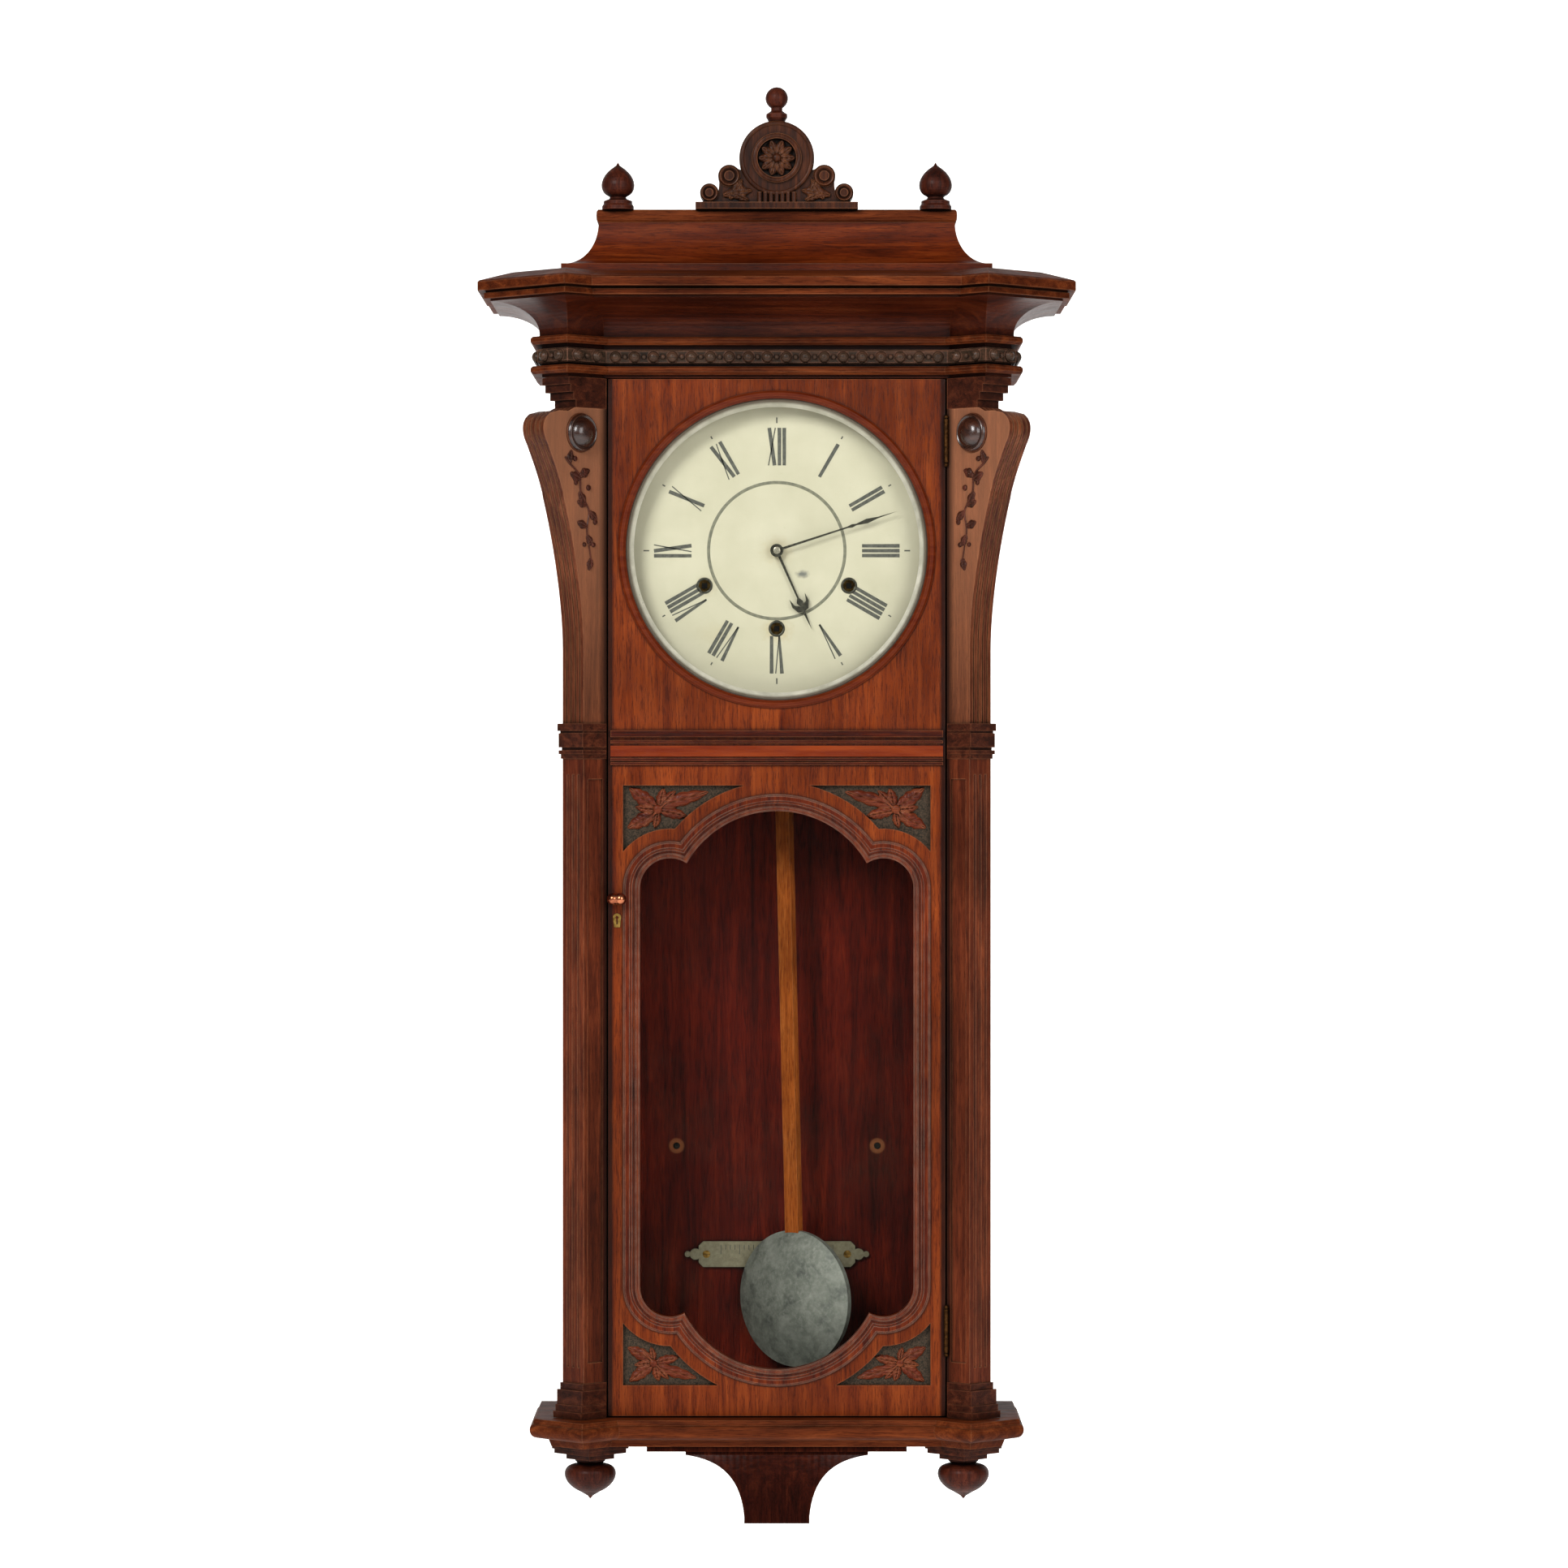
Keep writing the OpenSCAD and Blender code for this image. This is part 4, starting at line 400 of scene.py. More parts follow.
def finishes(colours):
    """Makes every finish once, three of their colours as set, and returns them by name."""
    return {
        # Straight-grained mahogany, stained red and polished: the door's streaks and warm lights
        "door": door_finish(colours.door_stain),
        # The same wood on rails and boards that run across
        "board": wood("mahogany_board_french_polished", "#320e03", "#521c05", "#6e2f0e", "x", 9, 0.34),
        # The case's sides and corner posts, cut along the grain
        "upright": wood("mahogany_upright_french_polished", "#320e03", "#521c05", "#6e2f0e", "z", 9, 0.36),
        # Walnut carving, waxed: browner and paler than the door, rubbed light along its arrises
        "carved": carved_finish("walnut_carved_waxed", "#38170d", "#5a2d1a", "#784429", 0.3),
        # The lower pilasters, redder and darker than the consoles
        "pilaster": carved_finish("walnut_pilaster_waxed", "#30110a", "#542312", "#74381f", 0.05),
        # The corner sprays, door wood rubbed brown on its ridges
        "spray": wood("mahogany_spray_carved", "#38100a", "#5c2412", "#7a4024", "x", 5, 0.36, "#0e0504", 4,
                      "#a86c4c", 0.7),
        # The vines' leaves, stained dark against the pale flanks
        "vine": wood("walnut_vine_stained", "#1c0e08", "#36190f", "#5a2c22", "z", 5, 0.36, "#0a0504", 3,
                     "#8a5444", 0.6),
        # The crest's carving, darkened by smoke, with dust and painted shade in its hollows, and rubbed tops
        "crest": wood("walnut_crest_smoked", "#1c0d07", "#371a0c", "#502a17", "z", 6, 0.36, "#0c0705", 7,
                      "#96603f", 0.7),
        # Bosses of the consoles, polished by hands
        "boss": wood("walnut_boss_polished", "#1a0d09", "#321a11", "#4a281a", "x", 8, 0.2, "#0a0605", 4,
                     "#8a5c48", 0.5, 0.5, 0.4),
        # Turned acorns and drops, red walnut under old polish
        "turned": wood("walnut_turned_polished", "#1d0a06", "#38150b", "#522415", "z", 6, 0.42, "#0a0404", 8,
                       "#8a503a", 0.5, 0.02),
        # Mouldings of the pilasters' bands and feet, darkest where hands and dust gather and where painted
        # shade fills their corners
        "pilaster_band": wood("walnut_band_smoked", "#200e08", "#3c1b10", "#5a2e1c", "x", 7, 0.4, "#0a0504",
                              6, "#90583c", 0.5, 0.02),
        # Walnut mouldings of the cornice, darkened by smoke and hands
        "moulding": wood("walnut_moulding_waxed", "#331206", "#54240e", "#74391a", "x", 9, 0.48, "#100805", 7,
                         "#9a6a48", 0.45, 0.0, 0.04),
        # Stained almost black, as on the bands and finials
        "dark": wood("walnut_ebonised_polished", "#1f0c06", "#3a1a10", "#5a2c1a", "x", 8, 0.3, "#0a0605", 5,
                     "#7d4a33", 0.5),
        # The window's moulding: door wood, darker, with a rubbed edge that is partly a painted highlight
        "trim": wood("mahogany_moulding_polished", "#34100a", "#5a200c", "#763414", "z", 6, 0.26, "#0c0403",
                     3, "#c09a84", 0.4),
        # Rail mouldings and the ring round the dial, the same wood run across
        "band": rail_finish(),
        # Frieze and cove under the cornice, red under a dark varnish and darker still as painted shade under
        # the cornice
        "board_dark": wood("mahogany_frieze_varnished", "#260a03", "#401506", "#592710", "x", 9, 0.36,
                           "#0a0302", 8, "#8a4a2a", 0.4),
        # Beads picked out in greenish black with rubbed pinkish tops, partly painted highlights
        "bead": wood("beading_ebonised_rubbed", "#211a14", "#392c22", "#5e3f30", "x", 5, 0.26, "#070605", 5,
                     "#a87660", 1.0),
        # Inside of the case, unpolished and deep red-brown
        "inside": carcase_finish(),
        # The tail below the base, nearly black and fluted, partly painted shade from the base above
        "tail": tail_finish(),
        # Varnished straight-grained stick of the pendulum
        "rod": wood("pendulum_stick_varnished", "#7c3c16", "#98501e", "#b0662e", "z", 4, 0.3, "#4a2410", 2,
                    "#c99058", 0.3),
        # Hinge brass, brown and dull under old varnish
        "hinge": metal("hinge_brass_darkened", "#4c3118", "#22150b", 0.5, 4.0),
        # Clockmaker's brass, lacquer gone: warm with brown patches
        "brass": metal("clock_brass_aged", "#b08d4a", "#6f5426", 0.32),
        # Coppery drawn brass of the door knob, with tarnished patches
        "knob": metal("knob_copper_brass_rubbed", "#b9714f", "#6b3426", 0.2, 5.0, 0.5),
        # Blued steel of the hands, dulled to dark olive-grey
        "hands": metal("hand_steel_blued_dull", "#4a4a40", "#2e2e28", 0.42, 3.0),
        # Filed steel of the works and the hanger, gone grey with a brown bloom
        "steel": metal("clock_steel_dulled", "#6e6c68", "#3b3936", 0.4, 8.0),
        # Heads of the steady screws, nearly black, their darkness also painted shade for the two holes they
        # sit in
        "screw": metal("screw_steel_blackened", "#2c2926", "#161412", 0.45, 3.0),
        # Collet that holds the minute hand, rubbed paler than the hands
        "collet": metal("hand_collet_rubbed", "#a3a08c", "#6c6a5a", 0.35, 2.0),
        # Silvered sight ring, tarnished greenish grey
        "silver": silvered_ring(),
        # Barrels and their winding squares, which show dark in the dial's holes
        "barrel": barrel_finish(),
        # Cast zinc of the lens bob, unpolished and cloudy
        "zinc": cast_zinc(),
        # Oil paint on zinc sheet: the dial's soft cream
        "dial": dial_enamel(colours.dial_paint),
        # Printed black of the numerals, worn to a dark olive grey
        "ink": ink("dial_print_black_worn", colours.printing, "#55574a"),
        # The same ink where it was printed thin, on the inner ring
        "ring_ink": ink("dial_ring_print_olive", "#5b5c4a", "#77775f"),
        # Ivory paint of the beat scale, yellowed and dusty, and darkened as painted shade inside the case
        "scale": ink("beat_scale_ivory_paint", "#7e795c", "#666046"),
        # Drawn glass of the window, a little darker than the dial's
        "pane": old_glass("window_pane_drawn", "#090a08", 0.08),
        "dial_pane": old_glass("dial_pane_drawn", "#20241f", 0.03),
        # Paper of the studio's floor and wall
        "paper": studio_paint("backdrop_paper_pale", "#e9e9e7"),
    }


NODE_FINISH = {
    "door": ["door_frame"],
    "board": ["roof"],
    "upright": ["side_board_left", "side_board_right", "corner_post_left", "corner_post_right"],
    "inside": ["back_board", "top_board", "bottom_board"],
    "carved": ["console_left", "console_right"],
    "pilaster": ["lower_pilasters"],
    "crest": ["crest"],
    "turned": ["crest_finial", "side_finials", "drop_finials"],
    "tail": ["tail_bracket"],
    "barrel": ["barrel_going", "barrel_strike", "barrel_chime"],
    "moulding": ["frieze_fillets", "cornice_slab", "cap_board", "base_ledge"],
    "pilaster_band": ["capitals", "plinths", "mid_bands"],
    "dark": ["drop_blocks", "spandrels"],
    "board_dark": ["frieze", "cornice_cove"],
    "trim": ["window_moulding"],
    "band": ["door_bands"],
    "bead": ["bead_band"],
    "rod": ["pendulum_rod"],
    "zinc": ["pendulum_bob"],
    "dial": ["dial"],
    "scale": ["beat_scale"],
    "silver": ["sight_ring"],
    "pane": ["window_glass"],
    "dial_pane": ["dial_glass"],
    "knob": ["door_knob"],
    "hands": ["hour_hand", "minute_hand"],
    "steel": ["hanger_plate", "movement_bracket", "gongs", "hammers", "anchor"],
    "brass": ["wood_screws", "front_plate", "back_plate", "third_wheel", "escape_wheel", "minute_wheel",
              "suspension_spring", "rating_nut", "escutcheon"],
    "hinge": ["hinges", "door_leaves"],
}


# Modelling helpers


def deselect():
    """Leaves edit mode and clears the selection, which the loaded frame fills."""
    if bpy.context.object and bpy.context.object.mode != "OBJECT":
        bpy.ops.object.mode_set(mode="OBJECT")
    bpy.ops.object.select_all(action="DESELECT")


def pick(pieces):
    """Selects these pieces alone and makes the first one active."""
    deselect()
    for piece in pieces:
        piece.select_set(True)
    bpy.context.view_layer.objects.active = pieces[0]


def begin(name):
    """Names the primitive that was just added and opens it in edit mode with all of it selected."""
    piece = bpy.context.object
    piece.name = piece.data.name = name
    bpy.ops.object.mode_set(mode="EDIT")
    bpy.ops.mesh.select_all(action="SELECT")
    return piece


def close(merge=0.02 * MM):
    """Merges doubles, turns the faces outwards and leaves edit mode."""
    bpy.ops.object.mode_set(mode="EDIT")
    bpy.ops.mesh.select_all(action="SELECT")
    bpy.ops.mesh.remove_doubles(threshold=merge)
    bpy.ops.mesh.normals_make_consistent(inside=False)
    bpy.ops.object.mode_set(mode="OBJECT")


def finish_piece(piece, finish, body, angle=50.0):
    """Puts the piece's place in its mesh, smooths it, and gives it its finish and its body."""
    pick([piece])
    bpy.ops.object.transform_apply(location=True, rotation=True, scale=True)
    bpy.ops.object.shade_smooth_by_angle(angle=math.radians(angle))
    piece.data.materials.clear()
    piece.data.materials.append(bpy.data.materials[FINISH_NAMES[finish]])
    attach(piece, body)
    deselect()


def join(name, pieces):
    """Joins pieces into one and returns it."""
    pick(pieces)
    bpy.ops.object.join()
    whole = bpy.context.object
    whole.name = whole.data.name = name
    deselect()
    return whole


def place(piece, matrix):
    """Moves the piece's mesh by a matrix and keeps its faces outwards where the matrix mirrors it."""
    piece.data.transform(matrix)
    if matrix.to_3x3().determinant() < 0:
        piece.data.flip_normals()
    piece.data.update()
    return piece


def duplicate(piece, name, matrix):
    """Copies the piece with a mesh of its own and moves the copy."""
    pick([piece])
    bpy.ops.object.duplicate(linked=False)
    copy = bpy.context.object
    copy.name = copy.data.name = name
    deselect()
    return place(copy, matrix)


def shift(x, y, z):
    """Returns the matrix of a move."""
    return Matrix.Translation((x, y, z))


def turn(degrees):
    """Returns the matrix of a turn about z."""
    return Matrix.Rotation(math.radians(degrees), 4, "Z")


# A relief is modelled lying on the plane x, y and facing +z, then turned onto the face that carries it
FACING = Matrix.Rotation(math.radians(90), 4, "X")
DIAGONAL_RIGHT = shift(PILASTER_ROOT_X, DOOR_FRONT_Y, 0) @ turn(-45)
MIRROR = Matrix.Scale(-1, 4, (1, 0, 0))


def carved_leaf(name, length, width, rise, lobes=3, bend=0.0, sink=0.001, veins=3):
    """One carved leaf along x, drawn in to its lobes, hollowed along its rib and turned down at its edge."""
    deselect()
    bpy.ops.mesh.primitive_grid_add(x_subdivisions=36, y_subdivisions=16, size=1, location=(0, 0, 0))
    piece = begin(name)
    bpy.ops.transform.translate(value=(0.5, 0, 0))
    shape = bmesh.from_edit_mesh(piece.data)
    for vert in shape.verts:
        along, across = vert.co.x, vert.co.y * 2
        outline = math.sin(math.pi * min(1.0, along * 0.94 + 0.06)) ** 0.7
        outline *= 0.82 + 0.18 * abs(math.cos(math.pi * lobes * along))
        rib = math.exp(-(across / 0.13) ** 2)
        vein = 0.5 + 0.5 * math.cos(2 * math.pi * (veins * 1.6 * along - abs(across) * 0.9))
        swell = (1 - across ** 2) ** 0.5 if abs(across) < 1 else 0.0
        vert.co = Vector((along * length, across * width / 2 * outline + bend * along ** 2,
                          rise * outline ** 0.5 * (swell * (0.72 + 0.16 * vein) - 0.3 * rib * swell)))
    bmesh.update_edit_mesh(piece.data)
    bpy.ops.mesh.select_all(action="SELECT")
    bpy.ops.mesh.extrude_region_move(TRANSFORM_OT_translate={"value": (0, 0, -sink)})
    close()
    return piece


def swept(name, points, radius, taper, sides=8):
    """A round stem along a smooth line through its points, narrowed on the way to the share taper."""
    deselect()
    bpy.ops.curve.primitive_bezier_curve_add(location=(0, 0, 0))
    line = bpy.context.object.data
    line.splines.clear()
    spline = line.splines.new("NURBS")
    spline.points.add(len(points) - 1)
    for i, point in enumerate(points):
        spline.points[i].co = (*point, 1)
        spline.points[i].radius = 1 + (taper - 1) * i / (len(points) - 1)
    spline.order_u = 4
    spline.use_endpoint_u = True
    spline.resolution_u = 6
    line.dimensions = "3D"
    line.bevel_depth = radius
    line.bevel_resolution = sides // 4 - 1
    line.use_fill_caps = True
    bpy.ops.object.convert(target="MESH")
    piece = bpy.context.object
    piece.name = piece.data.name = name
    close(0.005 * MM)
    return piece


def boss(name, radius, rise, steps):
    """A turned boss facing +z, raised by one inset for each (share of the radius, share of the rise)."""
    deselect()
    bpy.ops.mesh.primitive_circle_add(vertices=40, radius=radius, fill_type="NGON")
    piece = begin(name)
    last, level = radius, 0.0
    for share, lift in steps:
        bpy.ops.mesh.inset(thickness=last - radius * share, depth=0)
        bpy.ops.transform.translate(value=(0, 0, rise * lift - level))
        last, level = radius * share, rise * lift
    bpy.ops.object.mode_set(mode="OBJECT")
    return piece


def flat_ring(name, centre, major, minor, flatness, around, across=12):
    """A turned ring facing -y, round in section and pressed flat to the share flatness."""
    deselect()
    bpy.ops.mesh.primitive_torus_add(location=centre, rotation=(math.radians(90), 0, 0), major_radius=major,
                                     minor_radius=minor, major_segments=around, minor_segments=across)
    ring = begin(name)
    bpy.ops.transform.resize(value=(1, 1, flatness), orient_type="LOCAL")
    close()
    return ring


def blank(name):
    """Opens an empty mesh in edit mode."""
    deselect()
    bpy.ops.mesh.primitive_cube_add(size=0.001, location=(0, 0, 0))
    piece = begin(name)
    bpy.ops.mesh.delete(type="VERT")
    return piece


# Settings a user would change


def length(name, description, default):
    """A size that a user may change."""
    return bpy.props.FloatProperty(name=name, description=description, default=default, unit="LENGTH")


def power(name, description, default):
    """A lamp's power that a user may change."""
    return bpy.props.FloatProperty(name=name, description=description, default=default, unit="POWER")


def tint(name, description, code):
    """A colour that a user may change."""
    return bpy.props.FloatVectorProperty(name=name, description=description, default=linear(code), size=4,
                                         subtype="COLOR")


class ClockDialSettings(bpy.types.PropertyGroup):
    """Sizes of the dial's printing."""

    numeral_inner: length("Numeral Inner Radius", "Where the numerals start", 0.0755)
    numeral_outer: length("Numeral Outer Radius", "Where the numerals end", 0.1088)
    ring_radius: length("Ring Radius", "Radius of the printed inner ring", 0.0604)
    ring_width: length("Ring Width", "Width of the printed inner ring", 0.0028)
    mark_radius: length("Hour Mark Radius", "Radius of the small hour marks", 0.1155)
    print_height: length("Print Height", "How far the printing stands out", 0.00015)


class ClockCarvingSettings(bpy.types.PropertyGroup):
    """Sizes of the carving."""

    leaf_rise: length("Leaf Rise", "How far a carved leaf stands out", 0.0042)
    stem_radius: length("Stem Radius", "Radius of a carved stem", 0.0011)
    small_bead: length("Small Bead", "Radius of the cornice's small beads", 0.0024)
    petals: bpy.props.IntProperty(
        name="Petals", description="Petals of the crest's rosette", default=10, min=5, max=16)


class ClockColourSettings(bpy.types.PropertyGroup):
    """Colours of the parts that the eye meets first."""

    door_stain: tint("Door Stain", "Body colour of the door's polished wood", "#692a0b")
    dial_paint: tint("Dial Paint", "Cream of the dial where it is cleanest", "#bdba9f")
    printing: tint("Printing", "Black of the numerals and the scale's marks", "#34362d")


class ClockStudioSettings(bpy.types.PropertyGroup):
    """The camera's place and the strength of the light."""

    camera_distance: length("Camera Distance", "From the camera to the door's front", 5.2)
    camera_height: length("Camera Height", "How far it is above the tail's tip", 0.6578)
    camera_side: length("Camera Side", "How far it is right of the clock", 0.0064)
    view_width: length("View Width", "The picture's width at the door's front", 1.3814)
    key_power: power("Key Light", "Power of the large key light", 200.0)
    fill_power: power("Fill Light", "Power of the fill light", 96.0)


# Pieces


class CLOCK_OT_finishes(bpy.types.Operator):
    """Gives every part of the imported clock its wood, metal, paint or glass"""

    bl_idname = "clock.finishes"
    bl_label = "Give the Clock Its Finishes"

    def execute(self, context):
        for key, material in finishes(context.scene.clock_colours).items():
            FINISH_NAMES[key] = material.name
        bare = set(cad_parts)
        for key, names in NODE_FINISH.items():
            for name in names:
                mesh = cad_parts[name].data
                mesh.materials.clear()
                mesh.materials.append(bpy.data.materials[FINISH_NAMES[key]])
                bare.remove(name)
        if bare:
            raise RuntimeError("no finish for " + ", ".join(sorted(bare)))
        return {"FINISHED"}


NUMERALS = "I II III IIII V VI VII VIII IX X XI XII".split()
# Widths of a numeral's thick and thin strokes, of the gap between letters, and of the letters themselves
THICK, THIN, GAP = 0.0033, 0.0010, 0.0010
LETTER_WIDTH = {"I": THICK, "V": 0.0082, "X": 0.0080}
MARK_WIDTH = 0.0012


class CLOCK_OT_dial_printing(bpy.types.Operator):
    """Prints the radial Roman numerals, the inner ring and the hour marks on the dial"""

    bl_idname = "clock.dial_printing"
    bl_label = "Print the Dial"

    def stroke(self, angle, lift, inner, inner_side, outer, outer_side, inner_width, outer_width):
        # Each end of a stroke is given as its radius, its sideways offset and its width
        out = Vector((math.sin(angle), 0, math.cos(angle)))
        side = Vector((math.cos(angle), 0, -math.sin(angle)))
        start, end = out * inner + side * inner_side, out * outer + side * outer_side
        run = end - start
        centre = (start + end) / 2 + Vector((0, DIAL_FACE_Y, DIAL_Z))
        bpy.ops.mesh.select_all(action="DESELECT")
        bpy.ops.mesh.primitive_cube_add(size=1, location=centre, rotation=(0, math.atan2(run.x, run.z), 0),
                                        scale=(1, 2 * lift, run.length))
        mesh = bpy.context.object.data
        along = run.normalized()
        across = along.cross(Vector((0, 1, 0)))
        for vert in bmesh.from_edit_mesh(mesh).verts:
            if vert.select:
                offset = vert.co - centre
                width = inner_width if offset.dot(along) < 0 else outer_width
                vert.co = (centre + along * offset.dot(along) + Vector((0, offset.y, 0))
                           + across * math.copysign(width / 2, offset.dot(across)))
        bmesh.update_edit_mesh(mesh)

    def numeral(self, text, angle, lift, inner, outer):
        left = -(sum(LETTER_WIDTH[c] for c in text) + GAP * (len(text) - 1)) / 2
        for letter in text:
            right = left + LETTER_WIDTH[letter]
            mid = left + LETTER_WIDTH[letter] / 2
            # Each stroke: [inner side, outer side, inner width, outer width]
            strokes = {"I": [(mid, mid, THICK * 0.9, THICK)],
                       "V": [(mid, left + THICK / 2, THICK * 0.55, THICK), (mid, right - THIN, THIN, THIN)],
                       "X": [(right - THICK / 2, left + THICK / 2, THICK, THICK),
                             (left + THIN, right - THIN, THIN, THIN)]}[letter]
            for inner_side, outer_side, inner_width, outer_width in strokes:
                self.stroke(angle, lift, inner, inner_side, outer, outer_side, inner_width, outer_width)
            left = right + GAP

    def execute(self, context):
        sizes = context.scene.clock_dial
        lift = sizes.print_height
        piece = blank("dial_numerals")
        for hour, text in enumerate(NUMERALS, 1):
            angle = math.radians(30 * hour)
            self.numeral(text, angle, lift, sizes.numeral_inner, sizes.numeral_outer)
            reach = 0.0026 if hour % 3 == 0 else 0.0014
            inner, outer = sizes.mark_radius - reach, sizes.mark_radius + reach
            self.stroke(angle, lift, inner, 0, outer, 0, MARK_WIDTH, MARK_WIDTH)
        bpy.ops.object.mode_set(mode="OBJECT")
        finish_piece(piece, "ink", "case", 35)
        ring = flat_ring("dial_ring_print", (0, DIAL_FACE_Y, DIAL_Z), sizes.ring_radius, sizes.ring_width / 2,
                         0.12, 128, 10)
        finish_piece(ring, "ring_ink", "case", 35)
        return {"FINISHED"}


class CLOCK_OT_winding_collets(bpy.types.Operator):
    """Sets the small turned collets round the winding holes"""

    bl_idname = "clock.winding_collets"
    bl_label = "Set the Winding Collets"

    def execute(self, context):
        rings = []
        for name in ("barrel_going", "barrel_strike", "barrel_chime"):
            low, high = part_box(name)
            centre = ((low[0] + high[0]) / 2, DIAL_FACE_Y, (low[2] + high[2]) / 2)
            rings.append(flat_ring("collet_" + name, centre, 0.0062, 0.0011, 0.55, 48))
        finish_piece(join("winding_collets", rings), "hands", "case", 35)
        return {"FINISHED"}


# A spray's leaves: [length, width, angle, offset of its root], in millimetres and degrees
SPRAY_LEAVES = [(47, 13, 161, (2, 2)), (31, 14, 32, (2, 1)), (31, 14, -34, (2, -1)), (17, 10, 95, (0, 2)),
                (26, 11, 188, (1, -1)), (20, 9, 128, (0, 2)), (20, 9, 0, (2, 0)), (15, 8, -88, (2, -2))]
SPRAY_STEM = [(0.014, -0.014, 0.001), (0.008, -0.008, 0.0026), (0.002, 0.0, 0.0034), (-0.006, 0.006, 0.0026)]
# The sprays' places: [name, whether upright, x, height above the tail, size]
SPRAYS = [("upper", True, 103, 635.5, 1.0), ("lower", False, 107, 147, 0.85)]
ROUND_STEPS = [(0.97, 0.35), (0.85, 0.7), (0.6, 0.92), (0.3, 1.0)]


class CLOCK_OT_corner_sprays(bpy.types.Operator):
    """Carves the leaf sprays in the four sunk corners of the door's window"""

    bl_idname = "clock.corner_sprays"
    bl_label = "Carve the Corner Sprays"

    def execute(self, context):
        sizes = context.scene.clock_carving
        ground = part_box("spandrels")[1][1] - 0.0002
        parts = []
        for i, (length, width, angle, (dx, dz)) in enumerate(SPRAY_LEAVES):
            leaf = carved_leaf("leaf_%d" % i, length * MM, width * MM, sizes.leaf_rise, 4, 0.002)
            parts.append(place(leaf, shift(dx * MM, dz * MM, 0) @ turn(angle)))
        parts.append(swept("spray_stem", SPRAY_STEM, sizes.stem_radius * 1.4, 0.5))
        parts.append(place(boss("spray_heart", 0.0042, 0.0026, ROUND_STEPS), shift(0.002, 0.0, 0.002)))
        spray = place(join("spray", parts), FACING)
        corners = []
        for side in (1, -1):
            for name, upright, x, z, size in SPRAYS:
                matrix = shift(side * x * MM, ground, height(z)) @ Matrix.Scale(size, 4)
                if side < 0:
                    matrix = matrix @ MIRROR
                if not upright:
                    matrix = matrix @ Matrix.Scale(-1, 4, (0, 0, 1))
                corners.append(duplicate(spray, "spray_%s_%d" % (name, side), matrix))
        bpy.data.objects.remove(spray)
        whole = join("corner_sprays", corners)
        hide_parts("spandrels")
        finish_piece(whole, "spray", "door")
        return {"FINISHED"}


ROUNDEL_RADIUS = 0.033
SCROLL_STEPS = [(0.96, 0.6), (0.86, 1.0), (0.72, 0.9), (0.62, 0.3), (0.5, 0.15)]
# The crest's scrolls lie in from its ends or out from its middle: [whether from the end, x, z, radius]
CREST_SCROLLS = [(True, 0.0122, 0.0142, 0.0079), (False, 0.0418, 0.029, 0.0095)]
# Its leaves: [x, z, length, width, angle]
CREST_LEAVES = [(0.047, 0.012, 0.026, 0.011, 168), (0.041, 0.0085, 0.021, 0.009, 118),
                (0.025, 0.0075, 0.017, 0.008, 22), (0.028, 0.0115, 0.018, 0.007, 62)]


class CLOCK_OT_crest_carving(bpy.types.Operator):
    """Carves the crest: its rosette, the rims of its roundel, its scroll ends and its leaves"""

    bl_idname = "clock.crest_carving"
    bl_label = "Carve the Crest"

    def execute(self, context):
        petals = context.scene.clock_carving.petals
        low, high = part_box("crest")
        face = low[1] + 0.003
        centre_z = high[2] - ROUNDEL_RADIUS
        petal = carved_leaf("petal", 0.0145, 0.0088, 0.003, 1, 0, 0.001, 2)
        parts = [duplicate(petal, "petal_%d" % i, turn(360 * i / petals) @ shift(0.0022, 0, 0))
                 for i in range(petals)]
        bpy.data.objects.remove(petal)
        parts.append(place(boss("rosette_eye", 0.0042, 0.0045, ROUND_STEPS), shift(0, 0, 0.001)))
        pieces = [place(join("rosette", parts), shift(0, low[1] + 0.0035, centre_z) @ FACING),
                  flat_ring("roundel_rim", (0, face + 0.0004, centre_z), 0.0306, 0.0019, 0.8, 72),
                  flat_ring("roundel_ring", (0, low[1] + 0.0008, centre_z), 0.0196, 0.0021, 0.8, 72)]
        for side in (1, -1):
            for from_end, x, z, size in CREST_SCROLLS:
                x = high[0] - x if from_end else x
                scroll = boss("scroll_face", size, 0.0022, SCROLL_STEPS)
                pieces.append(place(scroll, shift(side * x, face, low[2] + z) @ FACING))
            for x, z, length, width, angle in CREST_LEAVES:
                leaf = carved_leaf("crest_leaf", length, width, 0.0034, 3, 0.001)
                place(leaf, shift(x, low[1] + 0.004, low[2] + z) @ FACING @ turn(angle))
                pieces.append(place(leaf, MIRROR) if side < 0 else leaf)
        finish_piece(join("crest_carving", pieces), "crest", "case")
        return {"FINISHED"}


# The vine, in millimetres out along the console's face and above the tail: its stem's points, its leaves
# [out, height, length, width, angle] and its berries [out, height, radius]
VINE_STEM = [(50, 944), (45, 938), (38, 935), (31, 927), (33, 915), (27, 906), (20, 898), (23, 888),
             (25, 878), (21, 866), (19, 854)]
VINE_LEAVES = [(45, 938, 13, 8, 100), (32, 928, 13, 9, 150), (31, 925, 14, 9, 20), (33, 914, 14, 9, 235),
               (24, 903, 12, 8, 10), (21, 897, 12, 8, 215), (24, 884, 12, 8, 15), (24, 876, 11, 8, 230),
               (19, 856, 11, 8, 280)]
VINE_BERRIES = [(38, 943, 2.4), (22, 918, 2.6), (37, 922, 2.2), (14, 888, 2.4), (16, 868, 2.2),
                (27, 868, 2.0)]


